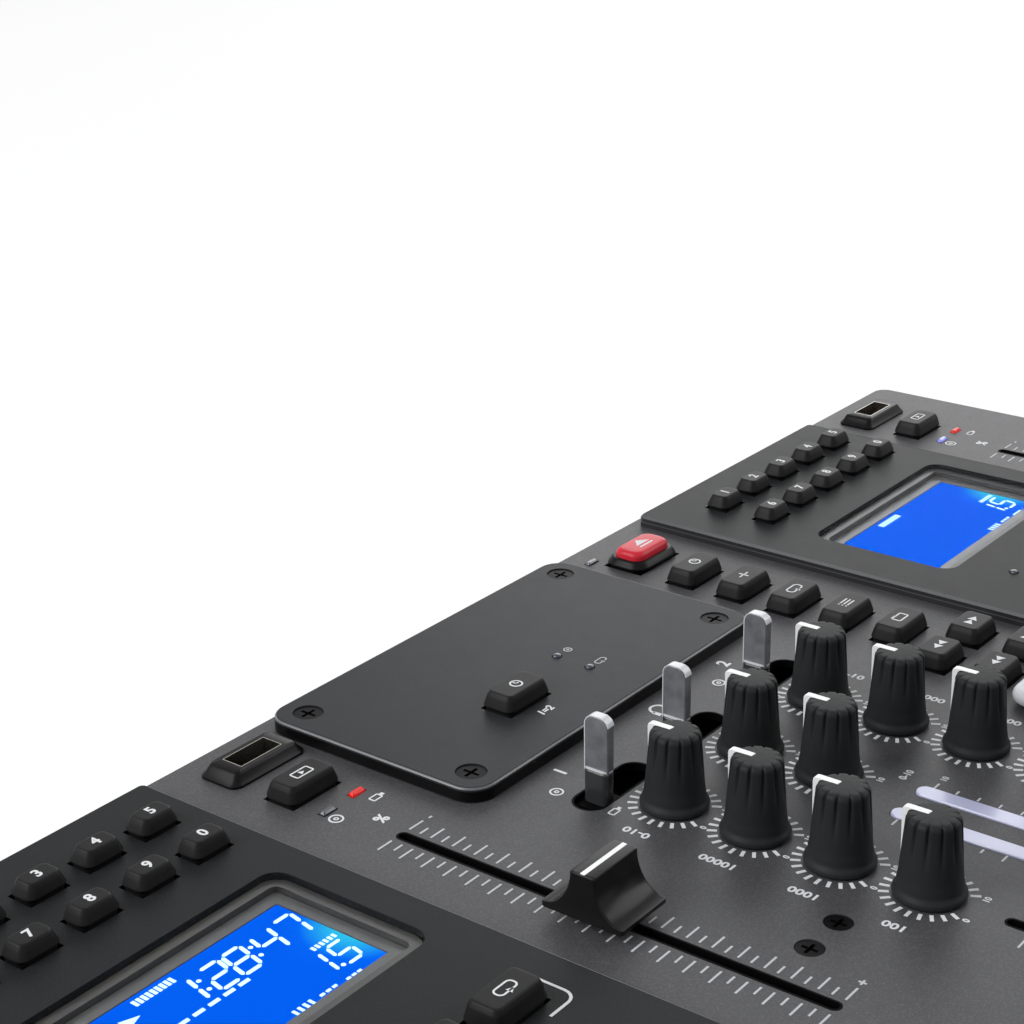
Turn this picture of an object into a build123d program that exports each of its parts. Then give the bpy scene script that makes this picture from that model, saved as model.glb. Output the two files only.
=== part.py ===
from build123d import *
import math
import os

# Two-deck disc player with a built-in two-channel mixer.
# Millimetres.  Places are worked out from the middle of the case, +X to the
# right, +Y away from the user, +Z up.  The finished nodes are moved so that the
# origin is on the table, under the middle of the whole object, sockets and all.
# Every size below is written once.

# ---------------------------------------------------------------- console
console_width = 540.0
console_depth = 300.0
console_height = 72.0          # table to the top face of the top panel
case_corner = 5.0
case_wall = 2.5
case_floor = 2.5
foot_height = 6.0
foot_diameter = 24.0
foot_inset = 38.0
foot_hollow = 7.0              # round the screw that holds the foot
foot_hollow_depth = 1.5
foot_taper = 2.2
foot_edge = 0.8
case_bevel = 2.0               # round the underside
vent_count = 7                 # slits each side, under the power supply
vent_x = 45.0
vent_pitch = 6.0
vent_width = 2.4
vent_length = 60.0
top_thickness = 2.0
top_edge = 0.5
lip_thickness = 1.5
lip_depth = 5.0
lip_clearance = 0.4

# posts that join the case to the top panel, with a screw up each of them
post_diameter = 9.0
post_inset_x = 10.0
post_inset_y = 10.0
boss_length = 8.0
screw_hole = 3.4
screw_shank = 3.0
screw_head = 5.8
screw_head_height = 2.0
screw_sink = 0.3               # plate screw under the plate's face
cross_width = 0.9
cross_depth = 1.0

# ---------------------------------------------------------------- clearances
slide_gap = 0.5                # round everything that moves in a hole
fit_gap = 0.2                  # round a fixed piece in its hole
key_travel = 0.8
key_gap = 0.2                  # left under a key at the end of its travel
key_band = 2.2                 # height of the tapered cap
key_waist = 0.35               # cap inside the shank, each side
key_taper = 7.0                # degrees
key_bevel = 0.5
key_reach = 4.0                # shank below the panel's face

# ---------------------------------------------------------------- control board
board_thickness = 1.6
board_drop = 14.4              # underside of the top panel to the board's top
board_margin_x = 22.0
board_margin_y = 22.0
tact_side = 6.0
board_post = 6.0
board_post_x = 48.0               # from a deck's middle
board_post_front = -112.0
board_post_back = 100.0

# ---------------------------------------------------------------- decks
deck_spacing = 317.5
deck_panel_width = 105.0
deck_panel_back = 146.7
deck_panel_front = -138.0
deck_panel_thickness = 3.5
deck_panel_corner = 2.0
deck_panel_bevel = 0.7

number_key_width = 10.5
number_key_depth = 6.9
number_key_height = 6.0        # above the deck panel
number_key_corner = 2.4
number_key_pitch = 17.1
number_key_x = 4.75            # middle of the block, from the deck's middle
number_key_row = 129.1
number_key_columns = 5
number_key_rows = 2

window_width = 78.0
window_depth = 46.4
window_corner = 5.0
window_thickness = 1.8
window_x = 3.4
window_y = 70.3
window_ledge = 3.0
display_height = 7.0
display_face_width = 64.5
display_face_depth = 32.5
display_frame_height = 0.4

loop_key_width = 16.5
loop_key_depth = 9.0
loop_key_x = 29.8
loop_key_row = 17.9
loop_key_pitch = 22.0
loop_key_count = 3

jog_diameter = 98.0
jog_y = -64.0
jog_height = 11.0              # above the deck panel
jog_rim_height = 4.5
jog_gap = 1.2                  # under the rim
jog_hub = 14.0
jog_notches = 30
jog_axle = 6.0
jog_bore_gap = 0.3             # round the axle
jog_hub_lift = 4.0             # hub above the board
jog_axle_reach = -2.5          # top of the axle, from the wheel's underside
finger_dish = 17.0             # radius of the ball that cuts the finger hollow
finger_from_rim = 24.0
finger_depth = 2.6
jog_edge = 1.0
jog_shoulder = 9.0             # rim's outside to its flat top
jog_shoulder_middle = 4.0
jog_step = 1.5                 # slope from the top to the touch plate
jog_plate_drop = 1.2
jog_notch = 3.2
jog_notch_from_rim = 0.6
jog_notch_lift = 2.6

# ---------------------------------------------------------------- deck side keys
mode_key_width = 16.5
mode_key_depth = 9.0
mode_key_height = 6.3          # above the top panel
mode_key_corner = 2.0
mode_key_x = -76.4
mode_key_row = 110.1
mode_key_pitch = 17.0
mode_key_count = 5
search_key_width = 13.0
search_key_depth = 10.0
search_key_spread = 19.6
search_key_rows = 2

eject_width = 20.0
eject_depth = 12.5
eject_height = 4.6
eject_corner = 4.0
eject_x = -74.4
eject_y = 130.4
eject_ring_height = 2.2
eject_ring_reach = 0.9         # past the shank, each side
eject_ring_taper = 25.0        # degrees
eject_ring_lift = 0.2          # over the panel when pressed
eject_cap_inset = 1.0
eject_edge = 0.9

pad_width = 38.0
pad_depth = 30.0
pad_height = 5.0
pad_corner = 6.0
pad_edge = 1.4
pad_x = -76.4
cue_pad_y = -18.0
play_pad_y = -57.0

source_key_x = 77.0
source_key_y = 116.8

usb_x = 79.8
usb_y = 136.2
usb_collar_width = 26.0
usb_collar_depth = 13.0
usb_collar_top_width = 21.5
usb_collar_top_depth = 10.0
usb_collar_height = 4.5
usb_mouth_width = 14.6
usb_mouth_depth = 6.6
usb_shell_depth_below = 11.0
usb_tongue_width = 11.1
usb_tongue_thickness = 1.8
usb_plug_depth = 8.0           # free depth above the tongue's root
usb_shell_wall = 1.2
usb_floor = 1.5
usb_tongue_shift = 1.3
usb_collar_corner = 2.6
usb_collar_top_corner = 1.6

# ---------------------------------------------------------------- faders
pitch_x = 74.85
pitch_y = 25.6
pitch_slot = 117.4
fader_cap_width = 15.0
fader_cap_length = 21.0
fader_cap_height = 11.6
fader_cap_lift = 2.6           # cap's foot above the top panel
fader_plateau = 6.4
fader_foot = 2.4
fader_hollow = (2.1, 4.9)      # a point on each flank: past the crown, above the foot
fader_groove = (1.2, 0.8)      # across the crown: width and depth
fader_stem_width = 1.6
fader_stem_length = 5.0
slot_width = 2.8
fader_body_width = 10.0
fader_body_gap = 1.0           # fader body below the top panel
stem_gap_below = 1.6

channel_fader_slot = 67.0
channel_fader_y = -79.6
cross_fader_x = -3.5
cross_fader_y = -126.0

# ---------------------------------------------------------------- mixer
column_x = (-34.4, -0.1, 34.2)
knob_row_back = 39.9
knob_row_pitch = 22.5
knob_names = (
    ("level", "high", "mid", "low"),
    ("cue_mix", "master"),
    ("level", "high", "mid", "low"),
)
column_tags = ("channel_a", "master", "channel_b")
knob_foot_diameter = 16.2
knob_waist_diameter = 14.4
knob_top_diameter = 12.3
knob_height = 19.6
knob_foot_height = 1.2
knob_waist_height = 5.6
knob_lift = 0.6                # above the top panel
knob_top_round = 0.8
flute_count = 12
flute_width = 1.5
flute_depth = 0.9
flute_offset = 0.15
shaft_diameter = 6.0
pot_side = 12.0
pot_height = 6.5
shaft_engagement = 5.0

lever_y = 57.0
lever_slot_x = (-35.6, -2.0, 36.3)
lever_names = ("source_lever_a", "cue_lever", "source_lever_b")
lever_slot_length = 27.0
lever_slot_width = 8.6
lever_travel = 11.6
lever_width = 6.9
lever_thickness = 2.4
lever_stem_height = 9.4        # black part above the top panel
lever_height = 21.8
lever_carrier_length = 9.5
lever_carrier_width = 7.4
lever_carrier_drop = 1.4       # top of the carrier under the top panel's face
lever_carrier_lift = 2.0       # carrier above the board
lever_switch_height = 9.0

centre_plate_width = 126.0
centre_plate_depth = 70.0
centre_plate_thickness = 4.0
centre_plate_x = -0.95
centre_plate_y = 111.8
centre_plate_corner = 7.0
centre_plate_edge = 0.9
plate_screw_inset = 8.2
plate_screw_head = 7.6
sync_x = -19.3
sync_y = 99.0
sync_height = 5.0              # above the centre plate

meter_x = -0.5
meter_spread = 12.7
meter_width = 5.0
meter_length = 62.0
meter_back = -3.4
lens_height = 0.5
lamp_width = 4.6
lamp_depth = 2.0
lamp_depth_below = 6.0
plate_lamp_diameter = 2.6
plate_lamps = ((8.3, 106.3), (8.0, 95.2))
deck_lamps = ((84.0, 105.5), (73.0, 105.0), (-85.3, 141.3))
panel_lamp = (-25.9, 31.6)

trim_screws = ((-68.6, -17.1), (-56.3, -17.1))
trim_screw_head = 6.4

# ---------------------------------------------------------------- disc loaders
tray_width = 130.0
tray_length = 172.0
tray_thickness = 8.0
tray_corner = 3.0
tray_bottom = 31.0             # above the table
tray_travel = 135.0
tray_gap = 0.6                 # between the tray and its guides
disc_diameter = 122.0
disc_depth = 2.6
small_disc_diameter = 82.0
small_disc_depth = 1.3
disc_back = 72.0               # front of the case to the disc's middle
tray_slot_width = 38.0
tray_slot_length = 62.0
tray_front_width = 142.0
tray_front_height = 18.0
tray_front_thickness = 4.0
tray_front_proud = 0.6         # tray front's face to the case's outer face
tray_front_gap = 0.8
mouth_width = tray_front_width + 2 * tray_front_gap
finger_groove = 2.0

rack_x = -55.0
rack_width = 6.0
rack_height = 5.0
gear_module = 1.5
gear_teeth = 20
gear_pressure_angle = 20.0
gear_backlash = 0.35
gear_bore = 4.6
gear_post = 4.0
gear_from_front = 22.0         # inner face of the front wall to the gear's axis
gear_web = 1.4
gear_rim = 2.2                 # between the teeth's roots and the web's pocket
gear_holes = 5
gear_hole = 4.2
gear_hub_wall = 2.3

frame_floor = 3.0
frame_floor_bottom = 17.0
frame_wall = 3.0
frame_wall_top = 45.0
frame_length = 200.0
frame_ledge = 5.0
frame_leg = 10.0
turntable_diameter = 30.0
turntable_thickness = 2.4
turntable_bottom = 23.4
cone_diameter = 14.6
cone_height = 3.6
spindle_diameter = 2.4
spindle_gap = 0.25
motor_diameter = 25.0
motor_height = 9.0
sled_width = 36.0
sled_length = 24.0
sled_height = 6.4
sled_bottom = 21.6
sled_from_spindle = 30.0
rod_diameter = 3.0
rod_spread = 44.0
rod_length = 76.0
rod_height = 24.6
rod_gap = 0.4
lens_diameter = 7.0
bridge_width = 30.0
bridge_thickness = 2.5
clamp_diameter = 30.0
clamp_hole = 24.0
clamp_lip = 1.4
clamp_drop = 4.0
rod_block = (8.0, 5.0)
rod_block_rise = 3.0           # above the rods' middles
frame_gap = 1.5                # behind the front wall

# ---------------------------------------------------------------- sockets
rca_x = (60.0, 78.0, 108.0, 126.0, 156.0, 174.0)
rca_heights = (32.0, 50.0)
rca_flange = 13.0
rca_sleeve_diameter = 8.3
rca_sleeve_length = 10.0
rca_bore = 3.4
rca_collar = 1.4
rca_neck = 10.4                # shoulder that fills the wall
jack_x = (-24.0, 24.0)
jack_height = 34.0
jack_bore = 6.5
jack_nut = 12.0
jack_nut_height = 2.4
jack_neck = 9.6                # through the wall
jack_body = 15.0
jack_body_length = 27.0
inlet_x = -200.0
inlet_z = 36.0
inlet_width = 27.6
inlet_height = 20.0
inlet_mouth_width = 24.4
inlet_mouth_height = 16.8
inlet_mouth_depth = 16.5
inlet_flange_width = 50.0
inlet_flange_thickness = 3.0
inlet_pin = 2.0
inlet_pin_width = 4.0
inlet_pin_length = 13.0
inlet_pin_spread = 7.0
inlet_pin_raise = 2.0          # middle pin above, outer pins below
inlet_cut = 4.5                # cut corners of the mouth
inlet_floor = 2.0
inlet_flange_rise = 4.0
inlet_screw_x = 20.0
switch_x = -150.0
rocker_width = 12.0
rocker_height = 19.0
rocker_depth = 9.0
rocker_swing = 8.0             # degrees each side of the middle
rocker_bezel = 2.0
rocker_end_gap = 1.0           # past the rocker's ends, for its swing
rocker_pivot = 5.0             # axis behind the wall's outer face
rocker_pin = 2.4
rocker_pin_reach = 1.5
rocker_pin_gap = 0.3
rocker_rise = 2.2              # ends above the bezel's foot
rocker_sag = 0.6               # middle above it
rocker_taper = 3.0             # ends shallower than the middle
bezel_rim = 1.5
bezel_thickness = 1.6
bezel_depth = 14.0
bezel_floor = 2.0

supply_width = 118.0
supply_depth = 74.0
supply_y = 66.0
supply_standoff = 5.0
standoff_diameter = 6.0
standoff_inset = 6.0
transformer = (-32.0, 6.0)     # its middle on the supply board
winding = (38.0, 34.0, 28.0)
core = (46.0, 24.0, 22.0)
can_diameter = 14.0
can_height = 22.0
can_spots = ((4.0, 18.0), (4.0, -2.0), (22.0, 18.0))
fin_count = 6
fin_pitch = 7.0
fin_x = 42.0
fin_front = -24.0
fin_size = (22.0, 1.6, 24.0)
spine_size = (3.0, 37.0, 26.0)

# ---------------------------------------------------------------- derived
top_z = console_height
top_under = top_z - top_thickness
deck_z = top_z + deck_panel_thickness
plate_z = top_z + centre_plate_thickness
floor_z = foot_height + case_floor
board_top = top_under - board_drop
tact_height = board_drop + top_thickness - key_travel - key_gap - key_reach
key_bottom = board_top + tact_height + key_travel + key_gap
deck_x = {"left": -deck_spacing / 2, "right": deck_spacing / 2}
front_y = -console_depth / 2
back_y = console_depth / 2
disc_y = front_y + disc_back
deck_panel_depth = deck_panel_back - deck_panel_front
deck_panel_y = (deck_panel_back + deck_panel_front) / 2
gear_radius = gear_module * gear_teeth / 2
rack_line = rack_x + rack_width / 2
gear_x = rack_line + gear_radius
gear_y = front_y + case_wall + gear_from_front
tray_front_y = front_y - tray_front_proud
tray_start = tray_front_y + tray_front_thickness
frame_inner = tray_width / 2 + tray_gap
middle_y = (front_y - jack_nut_height + back_y + rca_sleeve_length) / 2


def at(x, y, z, shape):
    """Return a copy of a shape moved to x, y, z."""
    return Pos(x, y, z) * shape


def slab(width, depth, height, corner=0.0):
    """Upright block on z 0, centred on x 0, y 0, with rounded upright edges."""
    face = RectangleRounded(width, depth, corner) if corner else Rectangle(width, depth)
    return extrude(face, amount=height)


def rod(diameter, height):
    """Upright cylinder standing on z 0."""
    return Cylinder(diameter / 2, height, align=(Align.CENTER, Align.CENTER, Align.MIN))


def number_key_spots():
    """Middles of the number keys, from the deck's middle: two rows of five."""
    half = (number_key_columns - 1) / 2
    return [
        (number_key_x + (column - half) * number_key_pitch, number_key_row - row * number_key_pitch)
        for row in range(number_key_rows)
        for column in range(number_key_columns)
    ]


def loop_key_spots():
    """Middles of the loop keys, the last one furthest right."""
    return [(loop_key_x - step * loop_key_pitch, loop_key_row) for step in range(loop_key_count)]


def mode_key_spots():
    """Middles of the mode keys down the side of a deck."""
    return [(mode_key_x, mode_key_row - step * mode_key_pitch) for step in range(mode_key_count)]


def search_key_spots():
    """Middles of the search keys, in pairs below the mode keys."""
    last = mode_key_row - (mode_key_count - 1) * mode_key_pitch
    return [
        (mode_key_x + side * search_key_spread / 2, last - (row + 1) * mode_key_pitch)
        for row in range(search_key_rows)
        for side in (-1, 1)
    ]


def pad_spots():
    """Middles of the two large pads."""
    return [(pad_x, cue_pad_y), (pad_x, play_pad_y)]


def post_spots():
    """Screw posts: the four corners, and the middles of the front and back."""
    x = console_width / 2 - post_inset_x
    y = console_depth / 2 - post_inset_y
    return [(sx * x, sy * y) for sx in (-1, 0, 1) for sy in (-1, 1)]


def knob_spots():
    """Name and middle of every rotary knob."""
    spots = []
    for x, tag, names in zip(column_x, column_tags, knob_names):
        for row, name in enumerate(names):
            label = name + "_knob" if tag == "master" else tag + "_" + name + "_knob"
            spots.append((label, x, knob_row_back - row * knob_row_pitch))
    return spots


def plate_screw_spots():
    """Corners of the centre plate, where its screws sit."""
    x = centre_plate_width / 2 - plate_screw_inset
    y = centre_plate_depth / 2 - plate_screw_inset
    return [
        (centre_plate_x + sx * x, centre_plate_y + sy * y) for sx in (-1, 1) for sy in (-1, 1)
    ]


def both_decks(spots):
    """Repeat places given from a deck's middle for both decks."""
    return [(middle + x, y) for middle in deck_x.values() for x, y in spots]


# ---------------------------------------------------------------- fasteners
def cross_screw(head, head_height, shank, length):
    """Countersunk cross-head screw, its head's top on z 0, pointing down."""
    profile = Polyline(
        (0, 0), (head / 2, 0), (head / 2, -0.5), (shank / 2, -head_height),
        (shank / 2, -length), (0, -length), (0, 0),
    )
    body = revolve(Plane.XZ * make_face(profile), Axis.Z)
    for turn in (0, 90):
        body -= Rot(0, 0, turn) * at(0, 0, -cross_depth, slab(head * 0.62, cross_width, 2))
    return body


def countersink(head, head_height, clearance):
    """Cutter for the seat of a countersunk screw, top on z 0."""
    wide = head / 2 + clearance
    narrow = screw_hole / 2
    profile = Polyline(
        (0, 1), (wide, 1), (wide, -0.5 - clearance), (narrow, -head_height - clearance),
        (0, -head_height - clearance), (0, 1),
    )
    return revolve(Plane.XZ * make_face(profile), Axis.Z)


def make_screws():
    """Every screw, as separate solids: plate, trim and case screws."""
    screws = []
    length = centre_plate_thickness + top_thickness + 3
    for x, y in plate_screw_spots():
        screw = cross_screw(plate_screw_head, screw_head_height, screw_shank, length)
        screws.append(at(x, y, plate_z - screw_sink, screw))
    for x, y in trim_screws:
        screw = cross_screw(trim_screw_head, top_thickness - 0.2, screw_shank, 7)
        screws.append(at(x, y, top_z - 0.2, screw))
    grip = top_under - 2.5 - foot_height
    for x, y in post_spots():
        screw = cross_screw(screw_head, screw_head_height, screw_shank, grip)
        screws.append(at(x, y, foot_height + 0.2, Rot(180, 0, 0) * screw))
    return Compound(children=screws)


# ---------------------------------------------------------------- case
def tray_opening():
    """Cutter for the opening that a tray front closes."""
    height = tray_front_height + 2 * tray_front_gap
    middle = tray_bottom + tray_thickness / 2
    return at(0, front_y, middle, Box(mouth_width, 4 * case_wall, height))


def make_base_plate():
    """Moulded base plate: bevelled underside, screw posts and slits for air."""
    plate = slab(console_width, console_depth, case_floor, case_corner)
    plate = chamfer(plate.faces().sort_by(Axis.Z)[0].edges(), case_bevel)
    plate = at(0, 0, foot_height, plate)
    for x, y in post_spots():
        plate += at(x, y, floor_z, rod(post_diameter, top_under - boss_length - floor_z))
    for x, y in post_spots():
        plate -= at(x, y, 0, rod(screw_hole, console_height))
        seat = countersink(screw_head, screw_head_height, fit_gap)
        plate -= at(x, y, foot_height, Rot(180, 0, 0) * seat)
    for step in range(vent_count):
        slit = Box(vent_width, vent_length, 4 * case_wall)
        for side in (-1, 1):
            x = side * vent_x + (step - (vent_count - 1) / 2) * vent_pitch
            plate -= at(x, supply_y, foot_height, slit)
    return plate


def make_case_walls():
    """Side cheeks, back panel, and a front of posts, rails and sills round the two mouths."""
    height = top_under - floor_z
    ring = slab(console_width, console_depth, height, case_corner)
    ring -= slab(
        console_width - 2 * case_wall, console_depth - 2 * case_wall, height, case_corner - case_wall
    )
    ring = at(0, 0, floor_z, ring)
    for middle in deck_x.values():
        ring -= at(middle, 0, 0, tray_opening())
    for x in rca_x:
        for z in rca_heights:
            hole = Rot(90, 0, 0) * Cylinder(rca_neck / 2 + fit_gap, 4 * case_wall)
            ring -= at(x, back_y, z, hole)
    for x in jack_x:
        hole = Rot(90, 0, 0) * Cylinder(jack_neck / 2 + fit_gap, 4 * case_wall)
        ring -= at(x, front_y, jack_height, hole)
    width = inlet_width + 2 * fit_gap
    height = inlet_height + 2 * fit_gap
    ring -= at(inlet_x, back_y, inlet_z, Box(width, 4 * case_wall, height))
    width = rocker_width + 2 * (slide_gap + rocker_bezel)
    height = rocker_height + 2 * (slide_gap + rocker_bezel)
    ring -= at(switch_x, back_y, inlet_z, Box(width, 4 * case_wall, height))
    between = Box(console_width - 2 * case_corner, 2 * console_depth, 4 * console_height)
    panels = ring & between
    front_zone = at(0, front_y, 0, Box(console_width, 4 * case_wall, 4 * console_height))
    front = panels & front_zone
    walls = [ring - between, panels - front_zone]
    for middle in deck_x.values():
        column = at(middle, front_y, 0, Box(mouth_width, 4 * case_wall, 4 * console_height))
        walls.append(front & column)
        front -= column
    walls.append(front)
    return Compound(children=[wall for group in walls for wall in group.solids()])


def foot_spots():
    """Middles of the four feet."""
    x = console_width / 2 - foot_inset
    y = console_depth / 2 - foot_inset
    return [(sx * x, sy * y) for sx in (-1, 1) for sy in (-1, 1)]


def make_feet():
    """Four turned rubber feet with a hollow for their screw."""
    radius = foot_diameter / 2
    hollow = foot_hollow / 2
    profile = Polyline(
        (hollow, foot_hollow_depth), (hollow, 0), (radius - foot_taper, 0),
        (radius - foot_taper + 1.25 * foot_edge, foot_edge), (radius, foot_height),
        (0, foot_height), (0, foot_hollow_depth), (hollow, foot_hollow_depth),
    )
    foot = revolve(Plane.XZ * make_face(profile), Axis.Z)
    return Compound(children=[at(x, y, 0, foot) for x, y in foot_spots()])


def key_hole(width, depth):
    """Outline of the hole round a moving key."""
    return Rectangle(width + 2 * slide_gap, depth + 2 * slide_gap)


def slot_hole(length, width):
    """Outline of a slot with round ends, long in Y."""
    return Rot(0, 0, 90) * SlotOverall(length, width)


def holes_in_top():
    """Every outline cut through the top panel."""
    holes = []
    for x, y in both_decks(number_key_spots()):
        holes.append(Pos(x, y) * key_hole(number_key_width, number_key_depth))
    for x, y in both_decks(loop_key_spots()):
        holes.append(Pos(x, y) * key_hole(loop_key_width, loop_key_depth))
    for x, y in both_decks(mode_key_spots() + [(source_key_x, source_key_y)]):
        holes.append(Pos(x, y) * key_hole(mode_key_width, mode_key_depth))
    for x, y in both_decks(search_key_spots()):
        holes.append(Pos(x, y) * key_hole(search_key_width, search_key_depth))
    for x, y in both_decks(pad_spots()):
        holes.append(Pos(x, y) * key_hole(pad_width, pad_depth))
    for x, y in both_decks([(eject_x, eject_y)]):
        holes.append(Pos(x, y) * key_hole(eject_width, eject_depth))
    for x, y in both_decks([(usb_x, usb_y)]):
        walls = 2 * (usb_shell_wall + fit_gap)
        holes.append(Pos(x, y) * Rectangle(usb_mouth_width + walls, usb_mouth_depth + walls))
    for x, y in both_decks([(pitch_x, pitch_y)]):
        holes.append(Pos(x, y) * slot_hole(pitch_slot, slot_width))
    for x, y in both_decks([(window_x, window_y)]):
        width = window_width - 2 * window_ledge
        holes.append(Pos(x, y) * Rectangle(width, window_depth - 2 * window_ledge))
    for x, y in both_decks([(0, jog_y)]):
        holes.append(Pos(x, y) * Circle(jog_hub / 2 + slide_gap))
    for x, y in both_decks(deck_lamps):
        holes.append(Pos(x, y) * Rectangle(lamp_width + 2 * fit_gap, lamp_depth + 2 * fit_gap))
    for x, y in list(plate_lamps) + both_decks([panel_lamp]):
        holes.append(Pos(x, y) * Circle(plate_lamp_diameter / 2 + fit_gap))
    for label, x, y in knob_spots():
        holes.append(Pos(x, y) * Circle(shaft_diameter / 2 + slide_gap))
    for x in lever_slot_x:
        holes.append(Pos(x, lever_y) * SlotOverall(lever_slot_length, lever_slot_width))
    for x in (column_x[0], column_x[2]):
        holes.append(Pos(x, channel_fader_y) * slot_hole(channel_fader_slot, slot_width))
    holes.append(Pos(cross_fader_x, cross_fader_y) * SlotOverall(channel_fader_slot, slot_width))
    holes.append(Pos(sync_x, sync_y) * key_hole(mode_key_width, mode_key_depth))
    for side in (-1, 1):
        x = meter_x + side * meter_spread / 2
        y = meter_back - meter_length / 2
        holes.append(Pos(x, y) * slot_hole(meter_length + 2 * fit_gap, meter_width + 2 * fit_gap))
    for x, y in plate_screw_spots():
        holes.append(Pos(x, y) * Circle(screw_hole / 2))
    return holes


def board_post_spots():
    """Posts under the top panel that carry the control board, clear of the keys."""
    return both_decks(
        [(side * board_post_x, y) for side in (-1, 1) for y in (board_post_front, board_post_back)]
    )


def make_top_panel():
    """Flat top with all its cut-outs, a locating lip and posts for the board."""
    outline = RectangleRounded(console_width, console_depth, case_corner)
    plate = extrude(outline - holes_in_top(), amount=top_thickness)
    plate = at(0, 0, top_under, plate)
    rim = plate.faces().sort_by(Axis.Z)[-1].outer_wire().edges()
    plate = chamfer(rim, top_edge)
    reach = case_wall + lip_clearance
    lip = slab(
        console_width - 2 * reach, console_depth - 2 * reach, lip_depth, case_corner - case_wall
    )
    inside = reach + lip_thickness
    lip -= slab(console_width - 2 * inside, console_depth - 2 * inside, lip_depth, 1)
    plate += at(0, 0, top_under - lip_depth, lip)
    for x, y in post_spots():
        boss = rod(post_diameter - 1, boss_length - 0.2) - rod(screw_hole - 0.2, boss_length - 2)
        plate += at(x, y, top_under - boss_length + 0.2, boss)
    for x, y in board_post_spots():
        plate += at(x, y, board_top, rod(board_post, board_drop))
    for x, y in trim_screws:
        plate -= at(x, y, top_z, countersink(trim_screw_head, top_thickness - 0.2, 0.2))
        plate -= at(x, y, top_under - 1, rod(screw_hole, 4))
    return plate


def make_deck_panel(middle):
    """Raised deck plate: bevelled edge, window rebate and key holes."""
    outline = RectangleRounded(deck_panel_width, deck_panel_depth, deck_panel_corner)
    plate = at(0, deck_panel_y, 0, extrude(outline, amount=deck_panel_thickness))
    plate = chamfer(plate.faces().sort_by(Axis.Z)[-1].outer_wire().edges(), deck_panel_bevel)
    holes = [Pos(x, y) * key_hole(number_key_width, number_key_depth) for x, y in number_key_spots()]
    holes += [Pos(x, y) * key_hole(loop_key_width, loop_key_depth) for x, y in loop_key_spots()]
    holes.append(Pos(0, jog_y) * Circle(jog_hub / 2 + slide_gap))
    holes.append(Pos(*panel_lamp) * Circle(plate_lamp_diameter / 2 + fit_gap))
    width = window_width - 2 * window_ledge
    depth = window_depth - 2 * window_ledge
    holes.append(Pos(window_x, window_y) * Rectangle(width, depth))
    for hole in holes:
        plate -= extrude(hole, amount=deck_panel_thickness)
    rebate = slab(
        window_width + 2 * fit_gap, window_depth + 2 * fit_gap, window_thickness, window_corner
    )
    plate -= at(window_x, window_y, deck_panel_thickness - window_thickness, rebate)
    return at(middle, 0, top_z, plate)


def make_window(middle):
    """Clear cover over the display, flush with the deck panel."""
    pane = slab(window_width, window_depth, window_thickness, window_corner)
    return at(middle + window_x, window_y, deck_z - window_thickness, pane)


def make_display(middle):
    """Display module: a box with a raised frame round its lit face."""
    width = window_width - 2 * window_ledge - 2 * fit_gap
    depth = window_depth - 2 * window_ledge - 2 * fit_gap
    body = slab(width, depth, display_height)
    cut = slab(display_face_width, display_face_depth, display_frame_height)
    body -= at(0, 0, display_height - display_frame_height, cut)
    legs = [
        at(sx * (width / 2 - 4), sy * (depth / 2 - 4), 0, rod(3, 1))
        for sx in (-1, 1) for sy in (-1, 1)
    ]
    top = top_z + 0.2
    bottom = top - display_height
    module = at(0, 0, bottom, body)
    for leg in legs:
        spot = leg.center()
        module += at(spot.X, spot.Y, board_top, rod(3, bottom - board_top))
    return at(middle + window_x, window_y, 0, module)


def make_centre_plate():
    """Raised centre plate with rounded corners, held by four screws."""
    plate = slab(centre_plate_width, centre_plate_depth, centre_plate_thickness, centre_plate_corner)
    plate = fillet(plate.faces().sort_by(Axis.Z)[-1].edges(), centre_plate_edge)
    plate = at(centre_plate_x, centre_plate_y, top_z, plate)
    plate -= at(sync_x, sync_y, top_z, extrude(key_hole(mode_key_width, mode_key_depth), amount=9))
    for x, y in plate_lamps:
        plate -= at(x, y, top_z, rod(plate_lamp_diameter + 2 * fit_gap, 9))
    for x, y in plate_screw_spots():
        plate -= at(x, y, plate_z - screw_sink, countersink(plate_screw_head, screw_head_height, 0.2))
        plate -= at(x, y, top_z, rod(screw_hole, 9))
    return plate


# ---------------------------------------------------------------- keys
def key_cap(width, depth, top, corner):
    """Moulded key: plain shank, then a waisted and tapered cap up to z top."""
    shank = slab(width, depth, top - key_bottom - key_band, corner)
    outline = RectangleRounded(width - 2 * key_waist, depth - 2 * key_waist, corner)
    cap = extrude(outline, amount=key_band, taper=key_taper)
    key = at(0, 0, key_bottom, shank) + at(0, 0, top - key_band, cap)
    return chamfer(key.faces().sort_by(Axis.Z)[-1].edges(), key_bevel)


def make_panel_keys(middle):
    """Ten number keys and three loop keys that stand in the deck panel."""
    top = deck_z + number_key_height
    number_key = key_cap(number_key_width, number_key_depth, top, number_key_corner)
    loop_key = key_cap(loop_key_width, loop_key_depth, top, mode_key_corner)
    keys = [at(middle + x, y, 0, number_key) for x, y in number_key_spots()]
    keys += [at(middle + x, y, 0, loop_key) for x, y in loop_key_spots()]
    return Compound(children=keys)


def make_side_keys(middle):
    """Five mode keys and four search keys beside the deck panel."""
    top = top_z + mode_key_height
    mode_key = key_cap(mode_key_width, mode_key_depth, top, mode_key_corner)
    search_key = key_cap(search_key_width, search_key_depth, top, mode_key_corner)
    keys = [at(middle + x, y, 0, mode_key) for x, y in mode_key_spots()]
    keys += [at(middle + x, y, 0, search_key) for x, y in search_key_spots()]
    return Compound(children=keys)


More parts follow.
